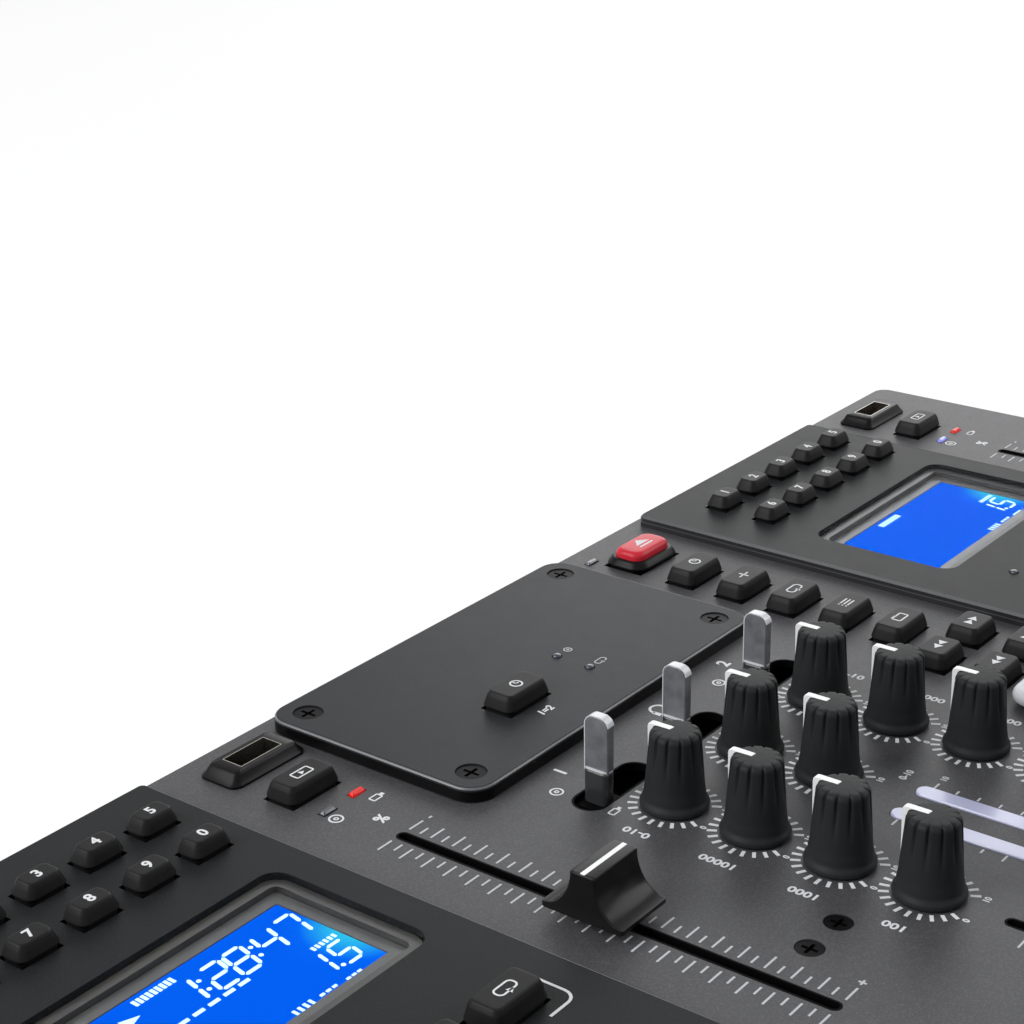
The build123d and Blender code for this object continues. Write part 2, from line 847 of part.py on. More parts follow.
def make_source_key(middle):
    """Key that picks disc or stick for a deck."""
    top = top_z + mode_key_height
    key = key_cap(mode_key_width, mode_key_depth, top, mode_key_corner)
    return at(middle + source_key_x, source_key_y, 0, key)


def make_sync_key():
    """Key in the centre plate."""
    key = key_cap(mode_key_width, mode_key_depth, plate_z + sync_height, mode_key_corner)
    return at(sync_x, sync_y, 0, key)


def make_eject_key(middle):
    """Translucent eject cap on a wider dark foot."""
    foot_width = eject_width + 2 * eject_ring_reach
    foot_depth = eject_depth + 2 * eject_ring_reach
    base = top_z + key_travel + eject_ring_lift
    shank = slab(eject_width, eject_depth, base + eject_ring_reach / 2 - key_bottom, eject_corner)
    foot = RectangleRounded(foot_width, foot_depth, eject_corner + eject_ring_reach)
    foot = extrude(foot, amount=eject_ring_height, taper=eject_ring_taper)
    width = eject_width - 2 * eject_cap_inset
    depth = eject_depth - 2 * eject_cap_inset
    cap = slab(width, depth, eject_height - eject_ring_height, eject_corner)
    cap = fillet(cap.faces().sort_by(Axis.Z)[-1].edges(), eject_edge)
    key = at(0, 0, key_bottom, shank) + at(0, 0, base, foot) + at(0, 0, base + eject_ring_height, cap)
    return at(middle + eject_x, eject_y, 0, key)


def make_pad(middle, y):
    """Large backlit pad with broad round corners and a crowned edge."""
    pad = slab(pad_width, pad_depth, top_z + pad_height - key_bottom, pad_corner)
    pad = fillet(pad.faces().sort_by(Axis.Z)[-1].edges(), pad_edge)
    return at(middle + pad_x, y, key_bottom, pad)


# ---------------------------------------------------------------- knobs
def make_knob():
    """Tall tapered knob on z 0: flared foot, flutes that fade out downwards."""
    foot = knob_foot_diameter / 2
    waist = knob_waist_diameter / 2
    top = knob_top_diameter / 2
    with BuildLine() as line:
        Polyline((0, 0), (foot, 0), (foot, knob_foot_height))
        Spline(
            (foot, knob_foot_height), (waist, knob_waist_height), (top, knob_height),
            tangents=((-0.7, 0.7), (top - waist, knob_height - knob_waist_height)),
        )
        Polyline((top, knob_height), (0, knob_height), (0, 0))
    knob = revolve(Plane.XZ * make_face(line.line), Axis.Z)
    knob = fillet(knob.faces().sort_by(Axis.Z)[-1].edges(), knob_top_round)
    lean = math.degrees(math.atan2(waist - top + flute_depth, knob_height - knob_waist_height))
    cutter = Rot(0, 0, 45) * Box(flute_width, flute_width, knob_height)
    cutter = Pos(top + flute_offset, 0, knob_height) * Rot(0, -lean, 0) * cutter
    knob -= [Rot(0, 0, (step + 0.5) * 360 / flute_count) * cutter for step in range(flute_count)]
    depth = top_under - board_top - pot_height + shaft_engagement
    shaft = rod(shaft_diameter, depth + top_thickness + knob_lift)
    return knob + at(0, 0, -(depth + top_thickness + knob_lift), shaft)


# ---------------------------------------------------------------- faders and levers
def fader_profile():
    """Side view of a fader cap: flat crown, hollow flanks, square foot."""
    half = fader_cap_length / 2
    crown = fader_plateau / 2
    height = fader_cap_height
    reach, level = fader_hollow
    with BuildLine() as line:
        Polyline((-half, fader_foot), (-half, 0), (half, 0), (half, fader_foot))
        ThreePointArc((half, fader_foot), (crown + reach, level), (crown, height))
        Line((crown, height), (-crown, height))
        ThreePointArc((-crown, height), (-crown - reach, level), (-half, fader_foot))
    return make_face(line.line)


def make_fader_cap():
    """Fader cap along Y on a flat stem that reaches down into its track."""
    cap = extrude(Plane.YZ * fader_profile(), amount=fader_cap_width / 2, both=True)
    groove = at(0, 0, fader_cap_height, Box(fader_cap_width, *fader_groove))
    cap = at(0, 0, top_z + fader_cap_lift, cap - groove)
    bottom = board_top + stem_gap_below
    stem = slab(fader_stem_width, fader_stem_length, top_z + fader_cap_lift + 1 - bottom)
    return cap + at(0, 0, bottom, stem)


def make_fader_track(slot):
    """Metal track of a fader on the board, open along its top."""
    height = board_drop - fader_body_gap
    track = slab(fader_body_width, slot + 8, height)
    width = fader_stem_width + 2 * slide_gap
    return track - at(0, 0, 1, slab(width, slot, height))


def make_lever_switch():
    """Slide switch on the board, open along its top for a lever's carrier."""
    length = lever_carrier_length + lever_travel + 2 * slide_gap
    width = lever_carrier_width + 2 * slide_gap
    body = slab(length + 3, width + 3, lever_switch_height)
    return body - at(0, 0, lever_carrier_lift - slide_gap, slab(length, width, lever_switch_height))


def make_lever(x):
    """Flat lever: a carrier under the panel, a dark stem and a clear paddle."""
    start = x - lever_travel / 2
    carrier_top = top_z - lever_carrier_drop
    carrier_bottom = board_top + lever_carrier_lift
    carrier = slab(lever_carrier_length, lever_carrier_width, carrier_top - carrier_bottom)
    lever = at(0, 0, carrier_bottom, carrier)
    stem = slab(lever_thickness + 1.2, lever_width, lever_carrier_drop + lever_stem_height, 0.8)
    lever += at(0, 0, carrier_top, stem)
    rise = lever_height - lever_stem_height
    paddle = slab(lever_thickness, lever_width - 0.6, rise, 0.6)
    paddle = chamfer(paddle.faces().sort_by(Axis.Z)[-1].edges(), 0.4)
    lever += at(0, 0, top_z + lever_stem_height, paddle)
    return at(start, lever_y, 0, lever)


# ---------------------------------------------------------------- jog wheel
def make_jog_wheel(middle):
    """Jog wheel: notched rim, dished touch plate and a finger hollow."""
    radius = jog_diameter / 2
    under = jog_gap
    rim_top = under + jog_rim_height
    flat = radius - jog_shoulder
    plate = jog_height - jog_plate_drop
    with BuildLine() as line:
        Polyline((0, under), (radius - jog_edge, under), (radius, under + jog_edge), (radius, rim_top))
        ThreePointArc((radius, rim_top), (radius - jog_shoulder_middle, plate), (flat, jog_height))
        Polyline((flat, jog_height), (flat - jog_step, plate), (0, plate), (0, under))
    wheel = revolve(Plane.XZ * make_face(line.line), Axis.Z)
    dish = Sphere(finger_dish)
    wheel -= at(radius - finger_from_rim, 0, plate + finger_dish - finger_depth, dish)
    for step in range(jog_notches):
        notch = at(radius + jog_notch_from_rim, 0, under + jog_notch_lift, rod(jog_notch, jog_height))
        wheel -= Rot(0, 0, step * 360 / jog_notches) * notch
    hub_length = deck_z + under - board_top - jog_hub_lift
    wheel += at(0, 0, under - hub_length, rod(jog_hub, hub_length))
    bore = jog_axle + 2 * jog_bore_gap
    wheel -= at(0, 0, under - hub_length, rod(bore, hub_length + jog_axle_reach + 0.5))
    return at(middle, jog_y, deck_z, wheel)


# ---------------------------------------------------------------- sockets and lamps
def make_usb_socket(middle):
    """Flared collar round a socket: metal-lined mouth with a contact tongue."""
    foot = RectangleRounded(usb_collar_width, usb_collar_depth, usb_collar_corner)
    crown = Pos(0, 0, usb_collar_height) * RectangleRounded(
        usb_collar_top_width, usb_collar_top_depth, usb_collar_top_corner
    )
    collar = loft([foot, crown])
    shell_width = usb_mouth_width + 2 * usb_shell_wall
    shell_depth = usb_mouth_depth + 2 * usb_shell_wall
    shell = at(0, 0, -usb_shell_depth_below, slab(shell_width, shell_depth, usb_shell_depth_below))
    body = collar + shell
    hole_depth = usb_collar_height + usb_shell_depth_below - usb_floor
    mouth = slab(usb_mouth_width, usb_mouth_depth, hole_depth)
    body -= at(0, 0, usb_collar_height - hole_depth, mouth)
    tongue = slab(usb_tongue_width, usb_tongue_thickness, hole_depth - usb_plug_depth)
    body += at(0, usb_tongue_shift, usb_collar_height - hole_depth, tongue)
    return at(middle + usb_x, usb_y, top_z, body)


def make_lamps():
    """Light pipes: deck and plate lamps, and the two long meter windows."""
    lamps = []
    length = lamp_depth_below + lens_height
    for x, y in both_decks(deck_lamps):
        pipe = slab(lamp_width, lamp_depth, length)
        pipe = chamfer(pipe.faces().sort_by(Axis.Z)[-1].edges(), 0.3)
        lamps.append(at(x, y, top_z - lamp_depth_below, pipe))
    for x, y in plate_lamps:
        reach = length + centre_plate_thickness
        lamps.append(at(x, y, top_z - lamp_depth_below, rod(plate_lamp_diameter, reach)))
    for x, y in both_decks([panel_lamp]):
        reach = length + deck_panel_thickness
        lamps.append(at(x, y, top_z - lamp_depth_below, rod(plate_lamp_diameter, reach)))
    for side in (-1, 1):
        x = meter_x + side * meter_spread / 2
        y = meter_back - meter_length / 2
        bar = extrude(slot_hole(meter_length, meter_width), amount=lamp_depth_below + lens_height)
        lamps.append(at(x, y, top_z - lamp_depth_below, bar))
    return Compound(children=lamps)


def make_rca_socket(x, z):
    """Phono socket: flange on the back wall and a hollow sleeve pointing back."""
    sleeve = at(0, 0, case_wall, rod(rca_sleeve_diameter, rca_sleeve_length))
    sleeve += rod(rca_neck, case_wall)
    flange = at(0, 0, -rca_collar, rod(rca_flange, rca_collar))
    bore = at(0, 0, case_wall + 1, rod(rca_bore, rca_sleeve_length))
    socket = sleeve + flange - bore
    return at(x, back_y - case_wall, z, Rot(-90, 0, 0) * socket)


def make_rca_sockets():
    """Three stereo groups of phono sockets on the back."""
    return Compound(children=[make_rca_socket(x, z) for x in rca_x for z in rca_heights])


def make_jack_sockets():
    """Two quarter-inch jack sockets at the front, each with a ring nut."""
    jacks = []
    for x in jack_x:
        nut = rod(jack_nut, jack_nut_height)
        neck = at(0, 0, -case_wall, rod(jack_neck, case_wall))
        length = jack_body_length
        body = at(0, 0, -case_wall - length, slab(jack_body, jack_body, length, 1))
        jack = nut + neck + body
        reach = case_wall + length
        jack -= at(0, 0, -reach + 2, rod(jack_bore, reach + jack_nut_height))
        jacks.append(at(x, front_y, jack_height, Rot(90, 0, 0) * jack))
    return Compound(children=jacks)


def make_inlet():
    """Mains inlet: flange, recessed mouth with cut corners and three pins."""
    height = inlet_height + inlet_flange_rise
    flange = slab(inlet_flange_width, height, inlet_flange_thickness, inlet_flange_rise)
    depth = inlet_mouth_depth + inlet_floor
    block = at(0, 0, -depth, slab(inlet_width, inlet_height, depth))
    half_width = inlet_mouth_width / 2
    half_height = inlet_mouth_height / 2
    cut = inlet_cut
    outline = make_face(Polyline(
        (-half_width, -half_height), (half_width, -half_height), (half_width, half_height - cut),
        (half_width - cut, half_height), (cut - half_width, half_height),
        (-half_width, half_height - cut), (-half_width, -half_height),
    ))
    body = flange + block
    body -= at(0, 0, inlet_flange_thickness - inlet_mouth_depth, extrude(outline, amount=2 * depth))
    floor = inlet_flange_thickness - inlet_mouth_depth
    raise_by = inlet_pin_raise
    for x, y in ((-inlet_pin_spread, -raise_by), (0, raise_by), (inlet_pin_spread, -raise_by)):
        body += at(x, y, floor, slab(inlet_pin, inlet_pin_width, inlet_pin_length))
    for side in (-1, 1):
        body -= at(side * inlet_screw_x, 0, 0, rod(screw_hole, inlet_flange_thickness))
    return at(inlet_x, back_y, inlet_z, Rot(-90, 0, 0) * body)


def make_switch_bezel():
    """Frame that snaps into the back wall round the mains rocker."""
    width = rocker_width + 2 * slide_gap
    height = rocker_height + 2 * slide_gap
    rim = 2 * (rocker_bezel + bezel_rim)
    frame = slab(width + rim, height + rim, bezel_thickness, bezel_rim)
    wall = 2 * (rocker_bezel - fit_gap)
    frame += at(0, 0, -bezel_depth, slab(width + wall, height + wall, bezel_depth))
    frame -= at(0, 0, bezel_floor - bezel_depth, slab(width, height, bezel_depth))
    pin_room = rocker_width + 2 * (rocker_pin_reach + rocker_pin_gap)
    pin_hole = Cylinder(rocker_pin / 2 + rocker_pin_gap, pin_room)
    frame -= at(0, 0, -rocker_pivot, Rot(0, 90, 0) * pin_hole)
    return at(switch_x, back_y, inlet_z, Rot(-90, 0, 0) * frame)


def make_rocker():
    """Mains rocker on two pins: a shallow V, resting with one end pressed in."""
    half = rocker_height / 2 - rocker_end_gap
    shallow = rocker_taper - rocker_depth
    outline = make_face(Polyline(
        (-half, shallow), (0, -rocker_depth), (half, shallow), (half, rocker_rise),
        (0, rocker_sag), (-half, rocker_rise), (-half, shallow),
    ))
    rocker = extrude(Plane.YZ * outline, amount=rocker_width / 2, both=True)
    pins = Rot(0, 90, 0) * Cylinder(rocker_pin / 2, rocker_width + 2 * rocker_pin_reach)
    rocker += at(0, 0, -rocker_pivot, pins)
    rocker = Pos(0, 0, -rocker_pivot) * Rot(rocker_swing, 0, 0) * Pos(0, 0, rocker_pivot) * rocker
    return at(switch_x, back_y, inlet_z, Rot(-90, 0, 0) * rocker)


# ---------------------------------------------------------------- boards
def make_control_board():
    """Board under the top panel with its switches, tracks and rotary controls."""
    width = console_width - 2 * board_margin_x
    depth = console_depth - 2 * board_margin_y
    board = at(0, 0, board_top - board_thickness, slab(width, depth, board_thickness))
    pieces = []
    key_spots = number_key_spots() + loop_key_spots() + mode_key_spots() + search_key_spots()
    key_spots += pad_spots() + [(source_key_x, source_key_y), (eject_x, eject_y)]
    switch = slab(tact_side, tact_side, tact_height)
    for x, y in both_decks(key_spots) + [(sync_x, sync_y)]:
        pieces.append(at(x, y, board_top, switch))
    for label, x, y in knob_spots():
        pot = slab(pot_side, pot_side, pot_height)
        pot -= at(0, 0, pot_height - shaft_engagement - 0.6, rod(shaft_diameter + 0.8, 9))
        pieces.append(at(x, y, board_top, pot))
    for x, y in both_decks([(pitch_x, pitch_y)]):
        pieces.append(at(x, y, board_top, make_fader_track(pitch_slot)))
    for x in (column_x[0], column_x[2]):
        pieces.append(at(x, channel_fader_y, board_top, make_fader_track(channel_fader_slot)))
    across = Rot(0, 0, 90) * make_fader_track(channel_fader_slot)
    pieces.append(at(cross_fader_x, cross_fader_y, board_top, across))
    for x in lever_slot_x:
        pieces.append(at(x, lever_y, board_top, make_lever_switch()))
    axle = rod(jog_axle, deck_z + jog_gap + jog_axle_reach - board_top)
    for x, y in both_decks([(0, jog_y)]):
        pieces.append(at(x, y, board_top, axle))
    return [board] + pieces


def make_power_supply():
    """Supply board on standoffs: transformer, smoothing cans and a heat sink."""
    standoffs = [
        at(sx * (supply_width / 2 - standoff_inset), sy * (supply_depth / 2 - standoff_inset), 0,
           rod(standoff_diameter, supply_standoff))
        for sx in (-1, 1) for sy in (-1, 1)
    ]
    deck = at(0, 0, supply_standoff, slab(supply_width, supply_depth, board_thickness))
    for standoff in standoffs:
        deck += standoff
    top = supply_standoff + board_thickness
    deck += at(*transformer, top, slab(*winding, 2) + slab(*core, 2))
    for x, y in can_spots:
        deck += at(x, y, top, rod(can_diameter, can_height))
    for step in range(fin_count):
        deck += at(fin_x, fin_front + step * fin_pitch, top, slab(*fin_size))
    deck += at(fin_x, fin_front + (fin_count - 1) * fin_pitch / 2, top, slab(*spine_size))
    return at(0, supply_y, floor_z, deck)


# ---------------------------------------------------------------- disc loader
def gear_tooth_points(teeth, module, thinning):
    """Outline of one involute tooth about +X, from root to root.

    The involute of a base circle r_b at roll angle t lies at radius
    r_b * sqrt(1 + t^2) and is turned by t - atan(t).
    """
    pitch_radius = teeth * module / 2
    alpha = math.radians(gear_pressure_angle)
    base = pitch_radius * math.cos(alpha)
    root = pitch_radius - 1.25 * module
    tip = pitch_radius + module
    half_tooth = (math.pi * module / 2 - thinning) / (2 * pitch_radius)
    turned = math.tan(alpha) - alpha
    flank = []
    samples = 5
    last_roll = math.sqrt((tip / base) ** 2 - 1)
    for step in range(samples):
        roll = last_roll * step / (samples - 1)
        radius = base * math.sqrt(1 + roll * roll)
        angle = half_tooth + turned - (roll - math.atan(roll))
        flank.append((radius, angle))
    start = [(root, half_tooth + turned)] + flank
    lower = [(radius, -angle) for radius, angle in start]
    upper = [(radius, angle) for radius, angle in reversed(start)]
    return [(r * math.cos(a), r * math.sin(a)) for r, a in lower + upper]


def make_loader_gear(middle):
    """Spur gear that drives the tray's rack, with a hub and a thin web."""
    points = []
    tooth = gear_tooth_points(gear_teeth, gear_module, gear_backlash)
    for step in range(gear_teeth):
        turn = 2 * math.pi * step / gear_teeth
        points += [
            (x * math.cos(turn) - y * math.sin(turn), x * math.sin(turn) + y * math.cos(turn))
            for x, y in tooth
        ]
    outline = make_face(Polyline(*points, close=True))
    gear = extrude(outline, amount=rack_height - 0.4)
    pocket = gear_radius - 1.25 * gear_module - gear_rim
    gear -= at(0, 0, gear_web, rod(2 * pocket, 9)) - rod(2 * gear_bore, 20)
    for step in range(gear_holes):
        hole = at(pocket / 2 + gear_hub_wall, 0, 0, rod(gear_hole, 9))
        gear -= Rot(0, 0, step * 360 / gear_holes) * hole
    gear -= rod(gear_bore, 20)
    return at(middle + gear_x, gear_y, tray_bottom - rack_height - 0.2, gear)


def rack_tooth_face():
    """One rack tooth on the line x 0, pointing to +X, centred on y 0."""
    alpha = math.radians(gear_pressure_angle)
    half = (math.pi * gear_module / 2 - gear_backlash) / 2
    inward = half + 1.25 * gear_module * math.tan(alpha)
    outward = half - gear_module * math.tan(alpha)
    return make_face(Polyline(
        (-1.25 * gear_module, -inward), (gear_module, -outward),
        (gear_module, outward), (-1.25 * gear_module, inward), close=True,
    ))


def rack_teeth():
    """Rack teeth from the front of the tray to where the travel ends.

    The gear has a tooth on its -X side when its tooth count is even, so the
    rack has a gap level with the gear's axis.
    """
    pitch = math.pi * gear_module
    ahead = math.ceil(1.2 * gear_radius / pitch)
    behind = math.ceil((tray_travel + 1.0 * gear_radius) / pitch)
    return [Pos(rack_line, gear_y + (step + 0.5) * pitch) * rack_tooth_face()
            for step in range(-ahead, behind)]


def make_tray(middle):
    """Motor-driven tray: two disc recesses, pick-up slot and rack underneath."""
    plate = slab(tray_width, tray_length, tray_thickness, tray_corner)
    plate = at(0, tray_start + tray_length / 2, 0, plate)
    plate -= at(0, disc_y, tray_thickness - disc_depth, rod(disc_diameter, 9))
    deeper = tray_thickness - disc_depth - small_disc_depth
    plate -= at(0, disc_y, deeper, rod(small_disc_diameter, 9))
    slot = Rot(0, 0, 90) * SlotOverall(tray_slot_length + tray_slot_width / 2, tray_slot_width)
    slot_y = disc_y - tray_slot_width / 2 + (tray_slot_length + tray_slot_width / 2) / 2
    plate -= at(0, slot_y, 0, extrude(slot, amount=20))
    teeth = rack_teeth()
    first = teeth[0].center().Y - 3
    last = teeth[-1].center().Y + 3
    back_of_rack = slab(rack_width - 1.25 * gear_module, last - first, rack_height)
    back_x = rack_line - 1.25 * gear_module - (rack_width - 1.25 * gear_module) / 2
    rack = [at(back_x, (first + last) / 2, -rack_height, back_of_rack)]
    rack += [at(0, 0, -rack_height, extrude(tooth, amount=rack_height)) for tooth in teeth]
    return at(middle, 0, tray_bottom, plate + rack)


def make_tray_front(middle):
    """Front bar of the tray, with a shallow finger groove along its foot."""
    bar = Box(tray_front_width, tray_front_thickness, tray_front_height)
    bar = chamfer(bar.faces().sort_by(Axis.Y)[0].edges(), 0.8)
    groove = Rot(0, 90, 0) * Cylinder(finger_groove, tray_front_width * 0.4)
    bar -= at(0, -tray_front_thickness / 2, -tray_front_height / 2, groove)
    y = tray_front_y + tray_front_thickness / 2
    return at(middle, y, tray_bottom + tray_thickness / 2, bar)


def make_turntable(middle):
    """Disc drive hub: flat seat, centring cone and spindle."""
    hub = rod(turntable_diameter, turntable_thickness)
    cone = Cone(cone_diameter / 2, cone_diameter / 2 - 1.6, cone_height,
                align=(Align.CENTER, Align.CENTER, Align.MIN))
    hub += at(0, 0, turntable_thickness, cone)
    hub += at(0, 0, -5, rod(spindle_diameter, 5))
    return at(middle, disc_y, turntable_bottom, hub)


def make_laser_sled(middle):
    """Optical sled on two rods, with its lens on a raised block."""
    sled = slab(sled_width, sled_length, sled_height, 2)
    for side in (-1, 1):
        ear = slab((rod_spread - sled_width) / 2 + 4, sled_length - 4, sled_height)
        sled += at(side * (rod_spread / 2 - 1), 0, 0, ear)
        hole = Rot(90, 0, 0) * Cylinder(rod_diameter / 2 + rod_gap, sled_length + 2)
        sled -= at(side * rod_spread / 2, 0, rod_height - sled_bottom, hole)
    sled += at(0, 0, sled_height, slab(14, 14, 1.2, 2))
    sled += at(0, 0, sled_height + 1.2, rod(lens_diameter, 0.8))
    return at(middle, disc_y + sled_from_spindle, sled_bottom, sled)


def make_loader_frame(middle):
    """Chassis of one loader: floor, guides, rods, motor and clamp bridge."""
    outer = 2 * (frame_inner + frame_wall)
    start = front_y + case_wall + frame_gap
    y = start + frame_length / 2
    height = frame_wall_top - frame_floor_bottom
    body = at(0, y, 0, slab(outer, frame_length, height))
    body -= at(0, y, frame_floor, slab(2 * frame_inner, frame_length + 9, height))
    ledge_height = tray_bottom - tray_gap / 2 - frame_floor_bottom
    for side in (-1, 1):
        ledge = slab(frame_ledge, frame_length, ledge_height)
        body += at(side * (frame_inner - frame_ledge / 2), y, 0, ledge)
    body += at(gear_x, gear_y, frame_floor, rod(gear_post * 2, tray_bottom - rack_height
                                                - 0.4 - frame_floor_bottom - frame_floor))
    body += at(gear_x, gear_y, frame_floor, rod(gear_post, tray_bottom - 0.6
                                                - frame_floor_bottom - frame_floor))
    motor_top = turntable_bottom - 1.0 - frame_floor_bottom
    body += at(0, disc_y, motor_top - motor_height, rod(motor_diameter, motor_height))
    body -= at(0, disc_y, motor_top - 5, rod(spindle_diameter + 2 * spindle_gap, 9))
    rods_y = disc_y + 16
    for side in (-1, 1):
        for end in (0, rod_length):
            rise = rod_height + rod_block_rise - frame_floor_bottom - frame_floor
            block = slab(*rod_block, rise)
            body += at(side * rod_spread / 2, rods_y + end, frame_floor, block)
        bar = Rot(90, 0, 0) * Cylinder(rod_diameter / 2, rod_length)
        body += at(side * rod_spread / 2, rods_y + rod_length / 2, rod_height - frame_floor_bottom, bar)
    leg_height = frame_floor_bottom - floor_z
    for sx in (-1, 1):
        for sy in (-1, 1):
            leg_x = sx * (outer / 2 - frame_leg)
            leg_y = y + sy * (frame_length / 2 - 2.5 * frame_leg)
            body += at(leg_x, leg_y, -leg_height, rod(frame_leg, leg_height))
    bridge = slab(outer, bridge_width, bridge_thickness) - rod(clamp_hole, 9)
    body += at(0, disc_y, height, bridge)
    drop = at(0, 0, -bridge_thickness - clamp_lip, rod(clamp_hole - 1, clamp_drop))
    clamp = rod(clamp_diameter, clamp_lip) + drop
    clamp = at(0, disc_y, height + bridge_thickness, clamp)
    return [at(middle, 0, frame_floor_bottom, body), at(middle, 0, frame_floor_bottom, clamp)]


# ---------------------------------------------------------------- assembly
def build_nodes():
    """Build every sub-part and return them by node name."""
    both = list(deck_x.values())
    nodes = {
        "base_plate": make_base_plate(),
        "case_walls": make_case_walls(),
        "top_panel": make_top_panel(),
        "rubber_feet": make_feet(),
        "screws": make_screws(),
        "centre_plate": make_centre_plate(),
        "deck_panels": Compound(children=[make_deck_panel(middle) for middle in both]),
        "display_windows": Compound(children=[make_window(middle) for middle in both]),
        "display_modules": Compound(children=[make_display(middle) for middle in both]),
        "usb_sockets": Compound(children=[make_usb_socket(middle) for middle in both]),
        "lamps": make_lamps(),
        "circuit_boards": Compound(children=[*make_control_board(), make_power_supply()]),
        "phono_sockets": make_rca_sockets(),
        "jack_sockets": make_jack_sockets(),
        "mains_fittings": Compound(children=[make_inlet(), make_switch_bezel()]),
        "power_rocker": make_rocker(),
        "sync_key": make_sync_key(),
    }
    frames = [piece for middle in both for piece in make_loader_frame(middle)]
    nodes["loader_frames"] = Compound(children=frames)
    knob = make_knob()
    for label, x, y in knob_spots():
        nodes[label] = at(x, y, top_z + knob_lift, knob)
    for label, x in zip(lever_names, lever_slot_x):
        nodes[label] = make_lever(x)
    fader = make_fader_cap()
    nodes["channel_a_fader"] = at(column_x[0], channel_fader_y, 0, fader)
    nodes["channel_b_fader"] = at(column_x[2], channel_fader_y, 0, fader)
    nodes["crossfader"] = at(cross_fader_x, cross_fader_y, 0, Rot(0, 0, 90) * fader)
    for side, middle in deck_x.items():
        nodes[side + "_jog_wheel"] = make_jog_wheel(middle)
        nodes[side + "_panel_keys"] = make_panel_keys(middle)
        nodes[side + "_side_keys"] = make_side_keys(middle)
        nodes[side + "_source_key"] = make_source_key(middle)
        nodes[side + "_eject_key"] = make_eject_key(middle)
        nodes[side + "_cue_pad"] = make_pad(middle, cue_pad_y)
        nodes[side + "_play_pad"] = make_pad(middle, play_pad_y)
        nodes[side + "_pitch_fader"] = at(middle + pitch_x, pitch_y, 0, fader)
        nodes[side + "_disc_tray"] = make_tray(middle)
        nodes[side + "_tray_front"] = make_tray_front(middle)
        nodes[side + "_loader_gear"] = make_loader_gear(middle)
        nodes[side + "_turntable"] = make_turntable(middle)
        nodes[side + "_laser_sled"] = make_laser_sled(middle)
    return nodes


os.makedirs("parts", exist_ok=True)
for node_name, shape in build_nodes().items():
    export_step(at(0, -middle_y, 0, shape), os.path.join("parts", node_name + ".step"))
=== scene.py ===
"""Finished look of a two-deck disc player with a built-in mixer.

Places and sizes are millimetres in the case's own frame: x to the right, y away
from the user, z up from the table.  MeshDraft.piece turns them into metres.
"""

import logging
import math
from dataclasses import dataclass, field
from enum import Enum
from functools import cache

import bmesh
import bpy
import numpy as np
from mathutils import Matrix, Vector


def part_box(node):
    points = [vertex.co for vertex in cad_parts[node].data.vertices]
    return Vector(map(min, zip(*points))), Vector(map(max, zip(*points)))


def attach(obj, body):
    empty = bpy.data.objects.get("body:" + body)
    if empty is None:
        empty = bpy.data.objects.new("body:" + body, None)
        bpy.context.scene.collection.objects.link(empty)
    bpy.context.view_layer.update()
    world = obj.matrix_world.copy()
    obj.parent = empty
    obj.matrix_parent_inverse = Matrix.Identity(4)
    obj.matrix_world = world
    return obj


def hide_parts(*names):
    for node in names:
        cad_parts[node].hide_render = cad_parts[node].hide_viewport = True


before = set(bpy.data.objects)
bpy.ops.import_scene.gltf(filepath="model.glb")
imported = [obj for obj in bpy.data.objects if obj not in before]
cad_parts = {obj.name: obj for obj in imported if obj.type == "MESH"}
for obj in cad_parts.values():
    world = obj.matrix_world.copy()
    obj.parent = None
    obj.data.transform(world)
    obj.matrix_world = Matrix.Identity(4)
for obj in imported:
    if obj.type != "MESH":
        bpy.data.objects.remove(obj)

Spot = tuple[float, float]
Size = tuple[float, float, float]
Socket = bpy.types.NodeSocket

log = logging.getLogger("disc_player")
MILLIMETRE = 0.001
CASE_SHIFT = -sum(edge[1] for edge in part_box("base_plate")) / 2 / MILLIMETRE
TOP = 72.0
DECK_TOP = 75.5
PLATE_TOP = 76.0
INK = 0.05
SINK = 0.01
BOLD = 0.03
SIDES = {"left": -158.75, "right": 158.75}
PITCH_SPOT = (74.85, 25.6)
CHANNEL_COLUMNS = (-34.4, 34.2)
CHANNEL_Y = -79.6
CROSS_SPOT = (-3.5, -126.0)
LEVER_COLUMNS = (-35.6, -2.0, 36.3)
LEVER_Y = 57.0
WINDOW_SPOT = (3.4, 70.3)
DISPLAY_TOP = 72.25
SYNC_SPOT = (-19.3, 99.0)
PLATE_LAMPS = ((8.3, 106.3), (8.0, 95.2))
KEY_SIZE = (16.5, 9.0, 2.0)
UNIT_BOX = np.array([[-0.5, -0.5], [0.5, -0.5], [0.5, 0.5], [-0.5, 0.5]])


def node_box(node: str) -> tuple[np.ndarray, np.ndarray]:
    """Give a node's box in the case's frame.

    Args:
        node: name of the node.

    Returns:
        The lowest and the highest corner, in millimetres.
    """
    low, high = (np.array(corner, float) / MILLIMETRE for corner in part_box(node))
    shift = np.array([0.0, CASE_SHIFT, 0.0])
    return low + shift, high + shift


